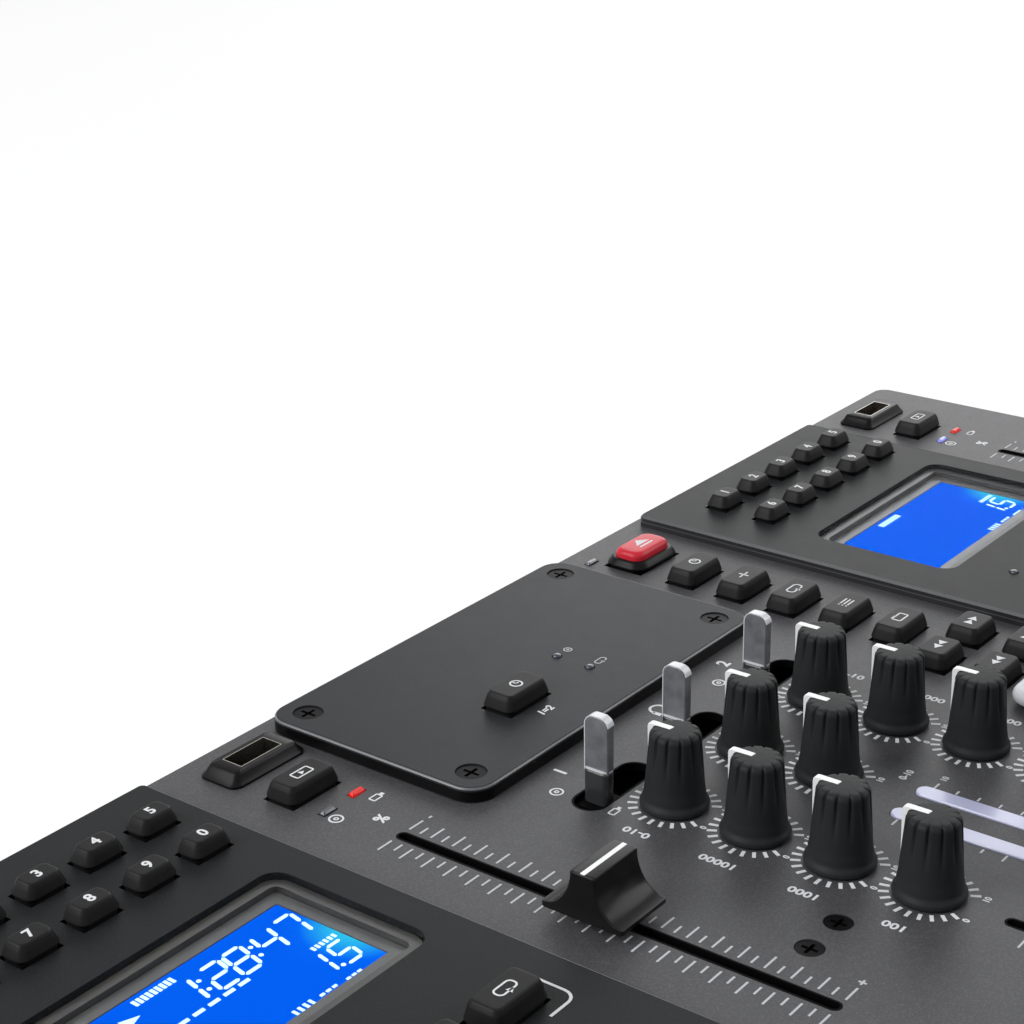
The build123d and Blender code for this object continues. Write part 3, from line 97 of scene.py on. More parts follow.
# ------------------------------------------------------------------ surfaces
def eased(profile: list[Spot] | np.ndarray, radius: float, steps: int = 3) -> np.ndarray:
    """Round the inner corners of an open profile.

    Each corner P gives way to the curve (1-t)^2 A + 2t(1-t) P + t^2 B, where A and
    B lie on the two arms, one radius from P and never past the arm's middle.

    Args:
        profile: corners in order.
        radius: how far from its corner a curve starts.
        steps: number of chords in a curve.

    Returns:
        The rounded profile as an array of points.
    """
    line = np.asarray(profile, float)
    before, middle, after = line[:-2], line[1:-1], line[2:]
    t = np.linspace(0, 1, steps + 1)[None, :, None]

    def start(arm: np.ndarray) -> np.ndarray:
        """Give the point on an arm where the curve starts."""
        length = np.linalg.norm(arm, axis=1, keepdims=True)
        return middle + arm * np.minimum(0.5, radius / np.maximum(length, 1e-9))

    a, b = start(before - middle)[:, None], start(after - middle)[:, None]
    curve = (1 - t) ** 2 * a + 2 * t * (1 - t) * middle[:, None] + t ** 2 * b
    return np.vstack([line[:1], curve.reshape(-1, line.shape[1]), line[-1:]])


def refined(profile: np.ndarray, step: float) -> np.ndarray:
    """Add points to a profile, so that none is further than a step from the next.

    The profile is read off as a function of its own length, at its old points and
    at even distances between them.

    Args:
        profile: points in order.
        step: largest distance between neighbours.

    Returns:
        The profile with more points.
    """
    length = np.concatenate([[0], np.cumsum(np.linalg.norm(np.diff(profile, axis=0), axis=1))])
    even = np.arange(0, length[-1], step)
    places = np.unique(np.round(np.concatenate([length, even]), 6))
    return np.stack([np.interp(places, length, column) for column in profile.T], -1)


def rounded_rings(
    width: np.ndarray | float, depth: np.ndarray | float, corner: np.ndarray | float,
    height: np.ndarray | float, steps: int = 5,
) -> np.ndarray:
    """Stack rounded rectangles, one for each height.

    A ring runs through four quarter circles of radius c round the points
    (+-(w/2 - c), +-(d/2 - c)).

    Args:
        width: size along x, one for each ring or one for all.
        depth: size along y.
        corner: corner radius.
        height: z of each ring.
        steps: chords in a quarter circle.

    Returns:
        Points as rings x places x 3, counter-clockwise from above.
    """
    given = [np.atleast_1d(np.asarray(value, float)) for value in (width, depth, corner, height)]
    w, d, c, z = (value[:, None] for value in np.broadcast_arrays(*given))
    c = np.maximum(np.minimum(c, np.minimum(w, d) / 2 - 0.01), 0.02)
    quarter = np.linspace(0, math.pi / 2, steps + 1)
    angle = (quarter[None, :] + np.arange(4)[:, None] * math.pi / 2).ravel()
    x = np.repeat([1, -1, -1, 1], steps + 1) * (w / 2 - c) + c * np.cos(angle)
    y = np.repeat([1, 1, -1, -1], steps + 1) * (d / 2 - c) + c * np.sin(angle)
    return np.stack([x, y, np.broadcast_to(z, x.shape)], -1)


def turned(profile: np.ndarray, columns: int = 48) -> np.ndarray:
    """Turn a profile of (radius, height) about z: points (r cos a, r sin a, z).

    Args:
        profile: radii and heights from the bottom up.
        columns: number of angles.

    Returns:
        Points as rings x places x 3.
    """
    angle = np.arange(columns) * 2 * math.pi / columns
    radius = np.maximum(profile[:, :1], 0.02)
    height = np.broadcast_to(profile[:, 1:], (len(profile), columns))
    return np.stack([radius * np.cos(angle), radius * np.sin(angle), height], -1)


def moved(grid: np.ndarray, x: float = 0, y: float = 0, z: float = 0, turn: float = 0) -> np.ndarray:
    """Turn a grid about z by some degrees, then move it.

    Args:
        grid: points with x, y, z last.
        x: shift along x.
        y: shift along y.
        z: shift along z.
        turn: degrees, counter-clockwise from above.

    Returns:
        The points at their new places.
    """
    a = math.radians(turn)
    spin = np.array([[math.cos(a), math.sin(a), 0], [-math.sin(a), math.cos(a), 0], [0, 0, 1]])
    return grid @ spin + np.array([x, y, z])


def circle(radius: float, columns: int = 32, start: float = 0, sweep: float = 360) -> np.ndarray:
    """Give points (r cos a, r sin a) on a circle or an arc of it.

    Args:
        radius: r.
        columns: number of points.
        start: first angle, in degrees from +x.
        sweep: degrees from the first angle to the last.

    Returns:
        The points, without a second one at the start of a whole circle.
    """
    closed = abs(sweep) >= 360
    angle = np.radians(start + np.linspace(0, sweep, columns, endpoint=not closed))
    return np.stack([radius * np.cos(angle), radius * np.sin(angle)], -1)


@cache
def glyph(text: str, size: float, slant: float) -> tuple[np.ndarray, list[list[int]]]:
    """Turn figures into a thin closed mesh, centred on the origin.

    Args:
        text: figures to print.
        size: height of the line.
        slant: lean of the figures.

    Returns:
        Points in millimetres and the faces between them.
    """
    curve = bpy.data.curves.new("figures", "FONT")
    curve.body, curve.size, curve.shear, curve.offset = text, size, slant, BOLD * size
    curve.align_x, curve.align_y = "CENTER", "CENTER"
    curve.extrude, curve.resolution_u = INK / 2, 3
    carrier = bpy.data.objects.new("figures", curve)
    bpy.context.scene.collection.objects.link(carrier)
    bpy.context.view_layer.update()
    mesh = bpy.data.meshes.new_from_object(carrier.evaluated_get(bpy.context.evaluated_depsgraph_get()))
    shape = bmesh.new()
    shape.from_mesh(mesh)
    bmesh.ops.remove_doubles(shape, verts=shape.verts, dist=1e-4)
    bmesh.ops.dissolve_degenerate(shape, edges=shape.edges, dist=1e-4)
    bmesh.ops.recalc_face_normals(shape, faces=shape.faces)
    shape.verts.index_update()
    points = np.array([vertex.co[:] for vertex in shape.verts])
    faces = [[vertex.index for vertex in face.verts] for face in shape.faces]
    shape.free()
    bpy.data.objects.remove(carrier)
    bpy.data.curves.remove(curve)
    bpy.data.meshes.remove(mesh)
    return points, faces


@dataclass
class MeshDraft:
    """Points and faces of one piece, gathered in millimetres."""

    points: list[np.ndarray] = field(default_factory=list)
    faces: list[list[int]] = field(default_factory=list)
    tags: list[int] = field(default_factory=list)
    count: int = 0

    def add(self, points: np.ndarray, faces: list[list[int]], tag: int) -> None:
        """Add points, and faces that number them from 0.

        Args:
            points: array of places.
            faces: corner numbers of each face.
            tag: number of the finish.
        """
        base = self.count
        self.points.append(points.reshape(-1, 3))
        self.faces.extend([[corner + base for corner in face] for face in faces])
        self.tags.extend([tag] * len(faces))
        self.count += points.size // 3

    def sheet(self, grid: np.ndarray, tag: int = 0, loop: bool = False) -> None:
        """Add a tube of rings, with a lid at its ends.

        Rings that run counter-clockwise, seen from the last ring, face outwards.

        Args:
            grid: rings x places x 3.
            tag: number of the finish.
            loop: whether the last ring joins the first, with no lids.
        """
        rings, columns = grid.shape[:2]
        index = np.arange(rings * columns).reshape(rings, columns)
        after = np.roll(index, -1, axis=1)
        last = rings if loop else rings - 1
        above, above_after = np.roll(index, -1, axis=0), np.roll(after, -1, axis=0)
        quads = np.stack([index[:last], after[:last], above_after[:last], above[:last]], -1)
        faces = quads.reshape(-1, 4).tolist()
        if not loop:
            faces += [index[0, ::-1].tolist(), index[-1].tolist()]
        self.add(grid, faces, tag)

    def block(
        self, spot: Spot, size: Size, line: list[Spot] | np.ndarray, tag: int = 0, steps: int = 5,
        loop: bool = False, shrink: float = 1.0, squeeze: float = 1.0,
    ) -> None:
        """Add rounded rectangles stacked along a profile of (inset, height).

        The width loses twice the inset, the depth twice the inset times the squeeze,
        and the corner radius the inset times the shrink.

        Args:
            spot: its middle.
            size: width, depth and corner radius.
            line: the profile from the bottom up.
            tag: number of the finish.
            steps: chords in a quarter circle.
            loop: whether the profile closes on itself.
            shrink: share of the inset that the corners lose.
            squeeze: share of the inset along y.
        """
        inset, height = np.asarray(line, float).T
        width, depth, corner = size
        rings = rounded_rings(
            width - 2 * inset, depth - 2 * inset * squeeze, corner - inset * shrink, height, steps
        )
        self.sheet(moved(rings, *spot), tag, loop)

    def band(self, spot: Spot, size: Size, section: list[Spot] | np.ndarray, tag: int = 0) -> None:
        """Run a loop of (offset outwards, height) round a rounded rectangle."""
        self.block(spot, size, np.asarray(section, float) * [-1, 1], tag, 8, loop=True)

    def prisms(self, outlines: np.ndarray, low: float, high: float, tag: int = 0) -> None:
        """Add flat prisms that have the same number of corners.

        Args:
            outlines: shapes x corners x 2, counter-clockwise.
            low: z of the undersides.
            high: z of the tops.
            tag: number of the finish.
        """
        many, corners = outlines.shape[:2]
        level = np.broadcast_to(np.array([low, high])[None, :, None, None], (many, 2, corners, 1))
        flat = np.broadcast_to(outlines[:, None], (many, 2, corners, 2))
        index = np.arange(many * 2 * corners).reshape(many, 2, corners)
        after = np.roll(index, -1, axis=2)
        sides = np.stack([index[:, 0], after[:, 0], after[:, 1], index[:, 1]], -1).reshape(-1, 4)
        faces = sides.tolist() + index[:, 0, ::-1].tolist() + index[:, 1].tolist()
        self.add(np.concatenate([flat, level], -1), faces, tag)

    def ribbon(
        self, path: np.ndarray, width: float, low: float, high: float, tag: int = 0, loop: bool = False,
    ) -> None:
        """Add a flat band along a path.

        The band's edges lie half a width to each side, along the path's normal,
        which is its direction turned a quarter turn to the left.

        Args:
            path: points along the middle of the band.
            width: width of the band.
            low: z of the underside.
            high: z of the top.
            tag: number of the finish.
            loop: whether the band closes on itself.
        """
        step = np.roll(path, -1, axis=0) - np.roll(path, 1, axis=0) if loop else np.gradient(path, axis=0)
        step = step / np.linalg.norm(step, axis=1, keepdims=True)
        side = np.stack([-step[:, 1], step[:, 0]], -1) * width / 2
        left, right = path + side, path - side
        edge = np.stack([left, left, right, right], 1)
        level = np.broadcast_to(np.array([low, high, high, low])[None, :, None], (len(path), 4, 1))
        self.sheet(np.concatenate([edge, level], -1), tag, loop)

    def figures(
        self, text: str, size: float, x: float, y: float, z: float, turn: float = 0, slant: float = 0,
        tag: int = 0, stretch: float = 1.0,
    ) -> None:
        """Print figures on a flat face.

        Args:
            text: figures to print.
            size: height of the line.
            x: middle of the print.
            y: middle of the print.
            z: height of the face.
            turn: degrees, counter-clockwise from above.
            slant: lean of the figures.
            tag: number of the finish.
            stretch: widening along the line.
        """
        points, faces = glyph(text, size, slant)
        self.add(moved(points * np.array([stretch, 1, 1]), x, y, z + INK / 2 - SINK, turn), faces, tag)

    def icon(
        self, sign: "Sign", size: float, x: float, y: float, z: float, turn: float = 0, tag: int = 0,
    ) -> None:
        """Print a pictogram on a flat face.

        Args:
            sign: the pictogram.
            size: its height.
            x: its middle.
            y: its middle.
            z: height of the face.
            turn: degrees, counter-clockwise from above.
            tag: number of the finish.
        """
        part = MeshDraft()
        sign.draw(part, size)
        self.add(moved(np.concatenate(part.points), x, y, z, turn), part.faces, tag)

    def piece(
        self, name: str, finishes: list["Finish"], body: str, slot: str, replaces: tuple[str, ...] = (),
        sharp: float = 35.0,
    ) -> None:
        """Make the gathered faces a piece of the object.

        Args:
            name: name of the piece.
            finishes: finish for each tag.
            body: body that carries it.
            slot: material slot of the record; not used.
            replaces: nodes that it stands for.
            sharp: angle in degrees past which an edge stays crisp.
        """
        points = (np.concatenate(self.points) - np.array([0, CASE_SHIFT, 0])) * MILLIMETRE
        mesh = bpy.data.meshes.new(name)
        mesh.from_pydata(points.tolist(), [], self.faces)
        for finish in finishes:
            mesh.materials.append(finish.material())
        mesh.polygons.foreach_set("material_index", np.array(self.tags, np.int32))
        mesh.validate()
        mesh.shade_smooth()
        mesh.set_sharp_from_angle(angle=math.radians(sharp))
        piece = bpy.data.objects.new(name, mesh)
        bpy.context.scene.collection.objects.link(piece)
        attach(piece, body)
        if replaces:
            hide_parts(*replaces)
        log.info("%s: %d faces", name, len(self.faces))


class Sign(Enum):
    """Pictograms for keys and panels, each a list of strokes in parts of its height.

    A bar has its middle, width and depth.  Heads are arrow heads with a scale, a way
    (1 or -1), a shift along y and shifts along x.  A frame has its width, depth and
    corner.  A ring has its radius, points and share of the line's width, an arc its
    radius, points, start and sweep in degrees, and a disc its radius and points.
    Lines are a seventh of the height wide.
    """

    PLAY = (("heads", 1.0, 1, 0.0, -0.35), ("bar", 0.45, 0, 0.14, 1), ("bar", 0.75, 0, 0.14, 1))
    SKIP_BACK = (("heads", 0.8, -1, 0.0, 0.45, -0.35),)
    SKIP_ON = (("heads", 0.8, 1, 0.0, -0.45, 0.35),)
    LOOP = (("frame", 1.8, 0.8, 0.35), ("heads", 0.55, 1, -0.4, 0.1))
    CLOCK = (("ring", 0.5, 28, 1.0), ("bar", 0, 0.16, 0.12, 0.4), ("bar", 0.14, 0, 0.36, 0.12))
    BAR = (("bar", 0, 0, 0.16, 1), ("bar", -0.45, 0, 0.5, 0.14), ("bar", 0.45, 0, 0.5, 0.14))
    LIST = tuple(
        stroke for row in (-0.36, 0.0, 0.36)
        for stroke in (("bar", 0.15, row, 1.2, 0.14), ("bar", -0.7, row, 0.16, 0.14))
    )
    FOLDER = (("frame", 1.5, 0.8, 0.12), ("bar", -0.4, 0.48, 0.6, 0.14))
    DISC = (("ring", 0.5, 28, 1.0), ("ring", 0.15, 16, 0.8))
    STICK = (("frame", 1.0, 0.6, 0.1), ("bar", 0.75, 0, 0.35, 0.36))
    PHONES = (("arc", 0.45, 20, -10, 200), ("bar", -0.46, -0.22, 0.26, 0.5), ("bar", 0.46, -0.22, 0.26, 0.5))
    TRIANGLE = (("heads", 1.0, 1, 0.0, 0.0),)
    SOURCE = (("frame", 1.9, 0.9, 0.15), ("heads", 0.55, 1, 0.0, 0.0))
    CUE = (("ring", 0.5, 28, 1.0), ("disc", 0.25, 20))

    def draw(self, draft: MeshDraft, size: float) -> None:
        """Draw the strokes round the origin on z 0, as prisms and ribbons.

        Args:
            draft: mesh that takes the faces.
            size: height of the sign.
        """
        line, flat = size / 7, (-SINK, INK)
        for kind, *numbers in self.value:
            if kind == "bar":
                x, y, width, depth = numbers
                draft.prisms((UNIT_BOX * [width, depth] + [x, y])[None] * size, *flat)
            elif kind == "heads":
                scale, way, up, *shifts = numbers
                head = np.array([[-0.4, -0.5], [0.5, 0.0], [-0.4, 0.5]]) * scale * [way, 1]
                spots = np.array([[shift, up] for shift in shifts])[:, None]
                draft.prisms((head[::way] + spots) * size, *flat)
            elif kind == "frame":
                ring = rounded_rings(*(number * size for number in numbers), 0)[0, :, :2]
                draft.ribbon(ring, line, *flat, loop=True)
            elif kind == "ring":
                radius, columns, share = numbers
                draft.ribbon(circle(radius * size, columns), line * share, *flat, loop=True)
            elif kind == "arc":
                draft.ribbon(circle(numbers[0] * size, *numbers[1:]), line, *flat)
            else:
                draft.prisms(circle(numbers[0] * size, numbers[1])[None], *flat)


# ------------------------------------------------------------------ finishes
def linear(colour: tuple[float, float, float], factor: float = 1.0) -> tuple[float, ...]:
    """Turn a screen colour of 0 to 255 into light, lightened by a factor.

    Below 0.04045 a value v becomes v / 12.92, and above it ((v + 0.055) / 1.055)^2.4.

    Args:
        colour: red, green and blue.
        factor: lightening of the result.

    Returns:
        Red, green, blue and 1.
    """
    v = np.asarray(colour, float) / 255
    light = np.where(v <= 0.04045, v / 12.92, ((v + 0.055) / 1.055) ** 2.4) * factor
    return (*np.clip(light, 0, 1).tolist(), 1.0)


class NodeSheet:
    """Lays out the nodes of a material or of the world."""

    def __init__(self, owner: bpy.types.Material | bpy.types.World) -> None:
        """Start with an empty tree.

        Args:
            owner: the material or world that the nodes belong to.
        """
        owner.use_nodes = True
        self.owner, self.tree = owner, owner.node_tree
        self.tree.nodes.clear()

    def add(
        self, kind: str, values: dict[str | int, float | tuple] | None = None, **settings: object,
    ) -> bpy.types.Node:
        """Add a node.

        Args:
            kind: Blender's name for it, without the lead "ShaderNode".
            values: values of its sockets.
            settings: properties of the node.

        Returns:
            The node.
        """
        node = self.tree.nodes.new("ShaderNode" + kind)
        for name, value in settings.items():
            setattr(node, name, value)
        for socket, value in (values or {}).items():
            node.inputs[socket].default_value = value
        return node

    def join(self, start: Socket, end: Socket) -> None:
        """Link two sockets."""
        self.tree.links.new(start, end)

    def mixed(self, share: Socket, first: Socket, second: Socket, output: str) -> None:
        """Send a share between two shaders to the output.

        Args:
            share: 0 for the first shader, 1 for the second.
            first: a shader.
            second: a shader.
            output: kind of the output node.
        """
        mix, out = self.add("MixShader"), self.add(output)
        for number, socket in enumerate((share, first, second)):
            self.join(socket, mix.inputs[number])
        self.join(mix.outputs[0], out.inputs[0])

    def seen(self) -> Socket:
        """Tell rays that show the room from rays that light the object.

        Returns:
            A socket with 1 for straight, mirrored and glass rays, and 0 for the others.
        """
        path = self.add("LightPath").outputs
        first, second = self.add("Math", operation="MAXIMUM"), self.add("Math", operation="MAXIMUM")
        self.join(path["Is Camera Ray"], first.inputs[0])
        self.join(path["Is Glossy Ray"], first.inputs[1])
        self.join(first.outputs[0], second.inputs[0])
        self.join(path["Is Transmission Ray"], second.inputs[1])
        return second.outputs[0]


class MaterialSheet(NodeSheet):
    """Lays out a material round a Principled shader."""

    def __init__(self, label: str) -> None:
        """Start a material that has a Principled shader.

        Args:
            label: name of the material.
        """
        super().__init__(bpy.data.materials.new(label))
        shader = self.add("BsdfPrincipled")
        self.shader = shader.inputs
        self.place = self.add("TexCoord").outputs["Object"]
        self.join(shader.outputs[0], self.add("OutputMaterial").inputs["Surface"])

    def set(self, **values: float | tuple) -> None:
        """Set sockets of the shader, named with underscores for spaces."""
        for name, value in values.items():
            self.shader[name.replace("_", " ")].default_value = value

    def noise(self, scale: float, detail: float = 2.0) -> Socket:
        """Lay a noise over the object's own places.

        Args:
            scale: waves per metre.
            detail: number of finer layers.

        Returns:
            The noise's socket.
        """
        node = self.add("TexNoise", {"Scale": scale, "Detail": detail})
        self.join(self.place, node.inputs["Vector"])
        return node.outputs[0]

    def ramp(self, source: Socket, stops: list[tuple[float, tuple]]) -> Socket:
        """Turn a value into a colour.

        Args:
            source: socket with the value.
            stops: places from 0 to 1, each with its colour.

        Returns:
            The colour socket.
        """
        node = self.add("ValToRGB")
        elements = node.color_ramp.elements
        while len(elements) < len(stops):
            elements.new(0.5)
        for element, (place, colour) in zip(elements, stops):
            element.position, element.color = place, colour
        self.join(source, node.inputs[0])
        return node.outputs[0]

    def bump(self, height: Socket, strength: float, distance: float) -> None:
        """Let a height roughen the surface.

        Args:
            height: socket with the height.
            strength: share of it that shows.
            distance: metres between lowest and highest.
        """
        node = self.add("Bump", {"Strength": strength, "Distance": distance})
        self.join(height, node.inputs["Height"])
        self.join(node.outputs[0], self.shader["Normal"])


@dataclass(frozen=True)
class Finish:
    """One material: a colour that drifts slowly, a fine grain, and its gloss."""

    label: str
    colour: tuple[int, int, int]
    roughness: float = 0.45
    gloss: float = 0.5
    grain: float = 0.12
    drift: float = 0.07
    glow: float = 0.0
    coat: float = 0.0
    clear: float = 0.0
    metallic: float = 0.0
    ior: float = 1.5
    drift_scale: float = 45.0
    grain_scale: float = 3200.0
    grain_depth: float = 0.00004
    wear: float = 0.04

    def material(self) -> bpy.types.Material:
        """Give the material, made once."""
        return finish_material(self)

    def lay_out(self, sheet: MaterialSheet) -> None:
        """Lay out colour, gloss and grain.

        Args:
            sheet: the material's nodes.
        """
        stops = [(0.3, linear(self.colour, 1 - self.drift)), (0.7, linear(self.colour, 1 + self.drift))]
        colour = sheet.ramp(sheet.noise(self.drift_scale, 3.0), stops)
        sheet.join(colour, sheet.shader["Base Color"])
        wear = sheet.add("MapRange", {
            "To Min": max(self.roughness - self.wear, 0.02), "To Max": self.roughness + self.wear,
        })
        sheet.join(sheet.noise(self.drift_scale * 4, 4.0), wear.inputs["Value"])
        sheet.join(wear.outputs[0], sheet.shader["Roughness"])
        sheet.set(
            Metallic=self.metallic, Specular_IOR_Level=self.gloss, Coat_Weight=self.coat, Coat_Roughness=0.12,
            Transmission_Weight=self.clear, IOR=self.ior,
        )
        if self.glow:
            sheet.join(colour, sheet.shader["Emission Color"])
            sheet.set(Emission_Strength=self.glow)
        if self.grain:
            sheet.bump(sheet.noise(self.grain_scale, 2.0), self.grain, self.grain_depth)


@dataclass(frozen=True)
class SpeckledPaint(Finish):
    """Powder paint: the plain finish, with fine lighter specks."""

    speck: float = 0.35
    speck_scale: float = 2200.0

    def lay_out(self, sheet: MaterialSheet) -> None:
        """Lay out the plain finish, then mix the specks into its colour.

        Args:
            sheet: the material's nodes.
        """
        super().lay_out(sheet)
        base = sheet.shader["Base Color"]
        source = base.links[0].from_socket
        mask = sheet.ramp(sheet.noise(self.speck_scale, 1.0), [(0.46, (0, 0, 0, 1)), (0.74, (1, 1, 1, 1))])
        mix = sheet.add("Mix", {7: linear(self.colour, 1 + 2 * self.speck)}, data_type="RGBA")
        sheet.join(mask, mix.inputs[0])
        sheet.join(source, mix.inputs[6])
        sheet.join(mix.outputs[2], base)


@dataclass(frozen=True)
class DarkenedBoard(Finish):
    """Circuit board, darkened to near black as painted shade where it shows through the slots, with lighter
    tracks in straight runs.
    """

    track: tuple[int, int, int] = (26, 30, 27)

    def lay_out(self, sheet: MaterialSheet) -> None:
        """Lay out the finish and draw tracks as the joints of a brick pattern.

        Args:
            sheet: the material's nodes.
        """
        super().lay_out(sheet)
        brick = sheet.add("TexBrick", {
            "Scale": 110.0, "Mortar Size": 0.05, "Mortar": linear(self.track),
            "Color1": linear(self.colour), "Color2": linear(self.colour, 1.3),
        })
        sheet.join(sheet.place, brick.inputs["Vector"])
        sheet.join(brick.outputs[0], sheet.shader["Base Color"])


@dataclass(frozen=True)
class DisplayGlow(Finish):
    """Backlit glass: deep blue that turns towards cyan near its lamp."""

    lamp: Spot = (0.0, 0.0)
    reach: float = 18.0
    near: tuple[int, int, int] = (50, 205, 246)
    far: tuple[int, int, int] = (0, 100, 252)
    unlit: tuple[int, int, int] = (2, 6, 20)

    def lay_out(self, sheet: MaterialSheet) -> None:
        """Lay out a glow that falls off with the distance from the lamp.

        The glow's colour follows that distance divided by the reach.

        Args:
            sheet: the material's nodes.
        """
        centre = (self.lamp[0], self.lamp[1] - CASE_SHIFT, TOP)
        away = sheet.add("VectorMath", operation="DISTANCE")
        sheet.join(sheet.place, away.inputs[0])
        away.inputs[1].default_value = tuple(value * MILLIMETRE for value in centre)
        share = sheet.add("MapRange", {"From Max": self.reach * MILLIMETRE})
        sheet.join(away.outputs["Value"], share.inputs["Value"])
        stops = [(0.3, linear(self.near)), (0.75, linear(self.colour)), (1.0, linear(self.far))]
        sheet.join(sheet.ramp(share.outputs[0], stops), sheet.shader["Emission Color"])
        sheet.set(
            Emission_Strength=self.glow, Base_Color=linear(self.unlit), Specular_IOR_Level=self.gloss,
            Roughness=self.roughness,
        )


@cache
def finish_material(finish: Finish) -> bpy.types.Material:
    """Make the material of a finish.

    Args:
        finish: the finish.

    Returns:
        The new material.
    """
    sheet = MaterialSheet(finish.label)
    finish.lay_out(sheet)
    return sheet.owner


TOP_PAINT = SpeckledPaint("top_paint", (62, 62, 64), 0.5, 0.29, 0.2, 0.05, speck=0.3)
CASE_PLASTIC = SpeckledPaint("case_plastic", (38, 39, 42), 0.55, 0.3, speck=0.15)
DECK_PAINT = SpeckledPaint("deck_paint", (33, 34, 35), 0.42, 0.06, 0.1, 0.05, speck=0.2)
PLATE_SATIN = SpeckledPaint("plate_satin", (40, 41, 43), 0.42, 0.08, 0.1, 0.04, speck=0.16)
KEY_BLACK = Finish("key_black", (24, 24, 25), 0.42, 0.1)
KNOB_BLACK = Finish("knob_black", (38, 39, 40), 0.48, 0.08, 0.1)
FADER_BLACK = Finish("fader_black", (24, 24, 25), 0.24, 0.12, 0.03)
COLLAR_BLACK = Finish("collar_black", (12, 12, 13), 0.3, 0.1, 0.05)
STEM_BLACK = Finish("stem_black", (44, 45, 47), 0.25, 0.4, 0.03)
# Near black: own colour of the slot rims, lever carriers and left socket tongue; painted shade on the slot
# walls and inside the socket mouths.
SLOT_BLACK_AND_SHADE = Finish("slot_black_and_shade", (6, 6, 7), 0.6, 0.03, 0.05)
EDGE_BLACK = Finish("edge_black", (12, 12, 13), 0.2, 0.12, 0.02)
# Painted highlight: light band on the centre plate's rounded top edge.
EDGE_PAINTED_HIGHLIGHT = Finish("edge_painted_highlight", (92, 93, 96), 0.3, 0.4, 0.04)
SIDE_SATIN = Finish("side_satin", (40, 40, 42), 0.32, 0.25, 0.05)
# Painted highlight: light lines on the deck panels' chamfer and along the middle of their sides.
SIDE_PAINTED_HIGHLIGHT = Finish("side_painted_highlight", (70, 71, 73), 0.3, 0.3, 0.04)
JOG_BLACK = Finish("jog_black", (27, 28, 30), 0.36, 0.35, 0.08)
JOG_PLATE = Finish("jog_plate", (46, 47, 50), 0.3, grain=0.05, metallic=0.6)
PAD_GREY = Finish("pad_grey", (196, 198, 202), 0.45, grain=0.1)
# Painted glow: faint emission keeps the red cap bright whatever the lamps give.
EJECT_RED_PAINTED_GLOW = Finish("eject_red", (188, 38, 52), 0.32, 0.14, 0.03, glow=0.08, coat=0.05)
INK_WHITE = Finish("ink_white", (214, 215, 217), 0.6, 0.3, 0.0, 0.02)
INK_GREY = Finish("ink_grey", (186, 188, 191), 0.6, 0.3, 0.0, 0.03)
INK_DARK = Finish("ink_dark", (40, 41, 44), 0.6, 0.3, 0.0, 0.03)
POINTER_WHITE = Finish("pointer_white", (232, 232, 232), 0.4, grain=0.03, drift=0.02)
PADDLE_SMOKE = Finish("paddle_smoke", (112, 113, 116), 0.2, 0.3, 0.0, 0.22, clear=0.2, drift_scale=240.0)
# Painted highlight: bright band for light caught on the paddle's crown and the stem's ring.
PADDLE_PAINTED_HIGHLIGHT = Finish("paddle_painted_highlight", (214, 216, 220), 0.2, grain=0.0, drift=0.02, clear=0.1)
GLASS = Finish("window_glass", (240, 243, 246), 0.04, grain=0.0, drift=0.0, clear=1.0, ior=1.02)
DISPLAY_GREY = Finish("display_grey", (82, 80, 77), 0.3, 0.5, 0.08)
MASK_GREY = Finish("mask_grey", (58, 56, 54), 0.3, 0.45, 0.06)
SEGMENT_WHITE = Finish("segment_white", (176, 216, 250), 0.5, 0.0, 0.0, 0.02, 0.9)
METER_LENS = Finish("meter_lens", (176, 178, 206), 0.22, grain=0.03, drift=0.05, coat=0.3)
LAMP_RED = Finish("lamp_red", (192, 20, 10), 0.25, 0.15, 0.0, glow=0.5, coat=0.08)
# Painted glow: red light on the right socket's tongue, which holds no lamp.
TONGUE_PAINTED_GLOW = Finish("tongue_painted_glow", (60, 8, 6), 0.4, grain=0.0, glow=0.4)
LAMP_BLUE = Finish("lamp_blue", (92, 96, 190), 0.2, grain=0.0, glow=0.5, coat=0.5)
LAMP_DARK = Finish("lamp_dark", (46, 46, 60), 0.2, 0.4, 0.0, coat=0.3)
SCREW_BLACK = Finish("screw_black", (10, 10, 11), 0.4, 0.05, 0.05)
SOCKET_METAL = Finish("socket_metal", (168, 164, 156), 0.25, grain=0.04, metallic=1.0)
RING_RED = Finish("ring_red", (186, 32, 30), 0.35, grain=0.04)
RING_WHITE = Finish("ring_white", (222, 221, 216), 0.35, grain=0.04)
RUBBER = Finish("rubber", (22, 22, 22), 0.85, 0.3, 0.3)
# Painted shade: the board is darkened to near black so that it reads as shade through the slots.
BOARD_PAINTED_SHADE = DarkenedBoard("board_green", (10, 12, 11), 0.4, 0.2, 0.05)
LOADER_BLACK = Finish("loader_black", (30, 30, 32), 0.5, 0.35)
TRAY_BLACK = Finish("tray_black", (27, 27, 29), 0.4, 0.35, 0.08)
GEAR_WHITE = Finish("gear_white", (222, 220, 212), 0.42, grain=0.05)

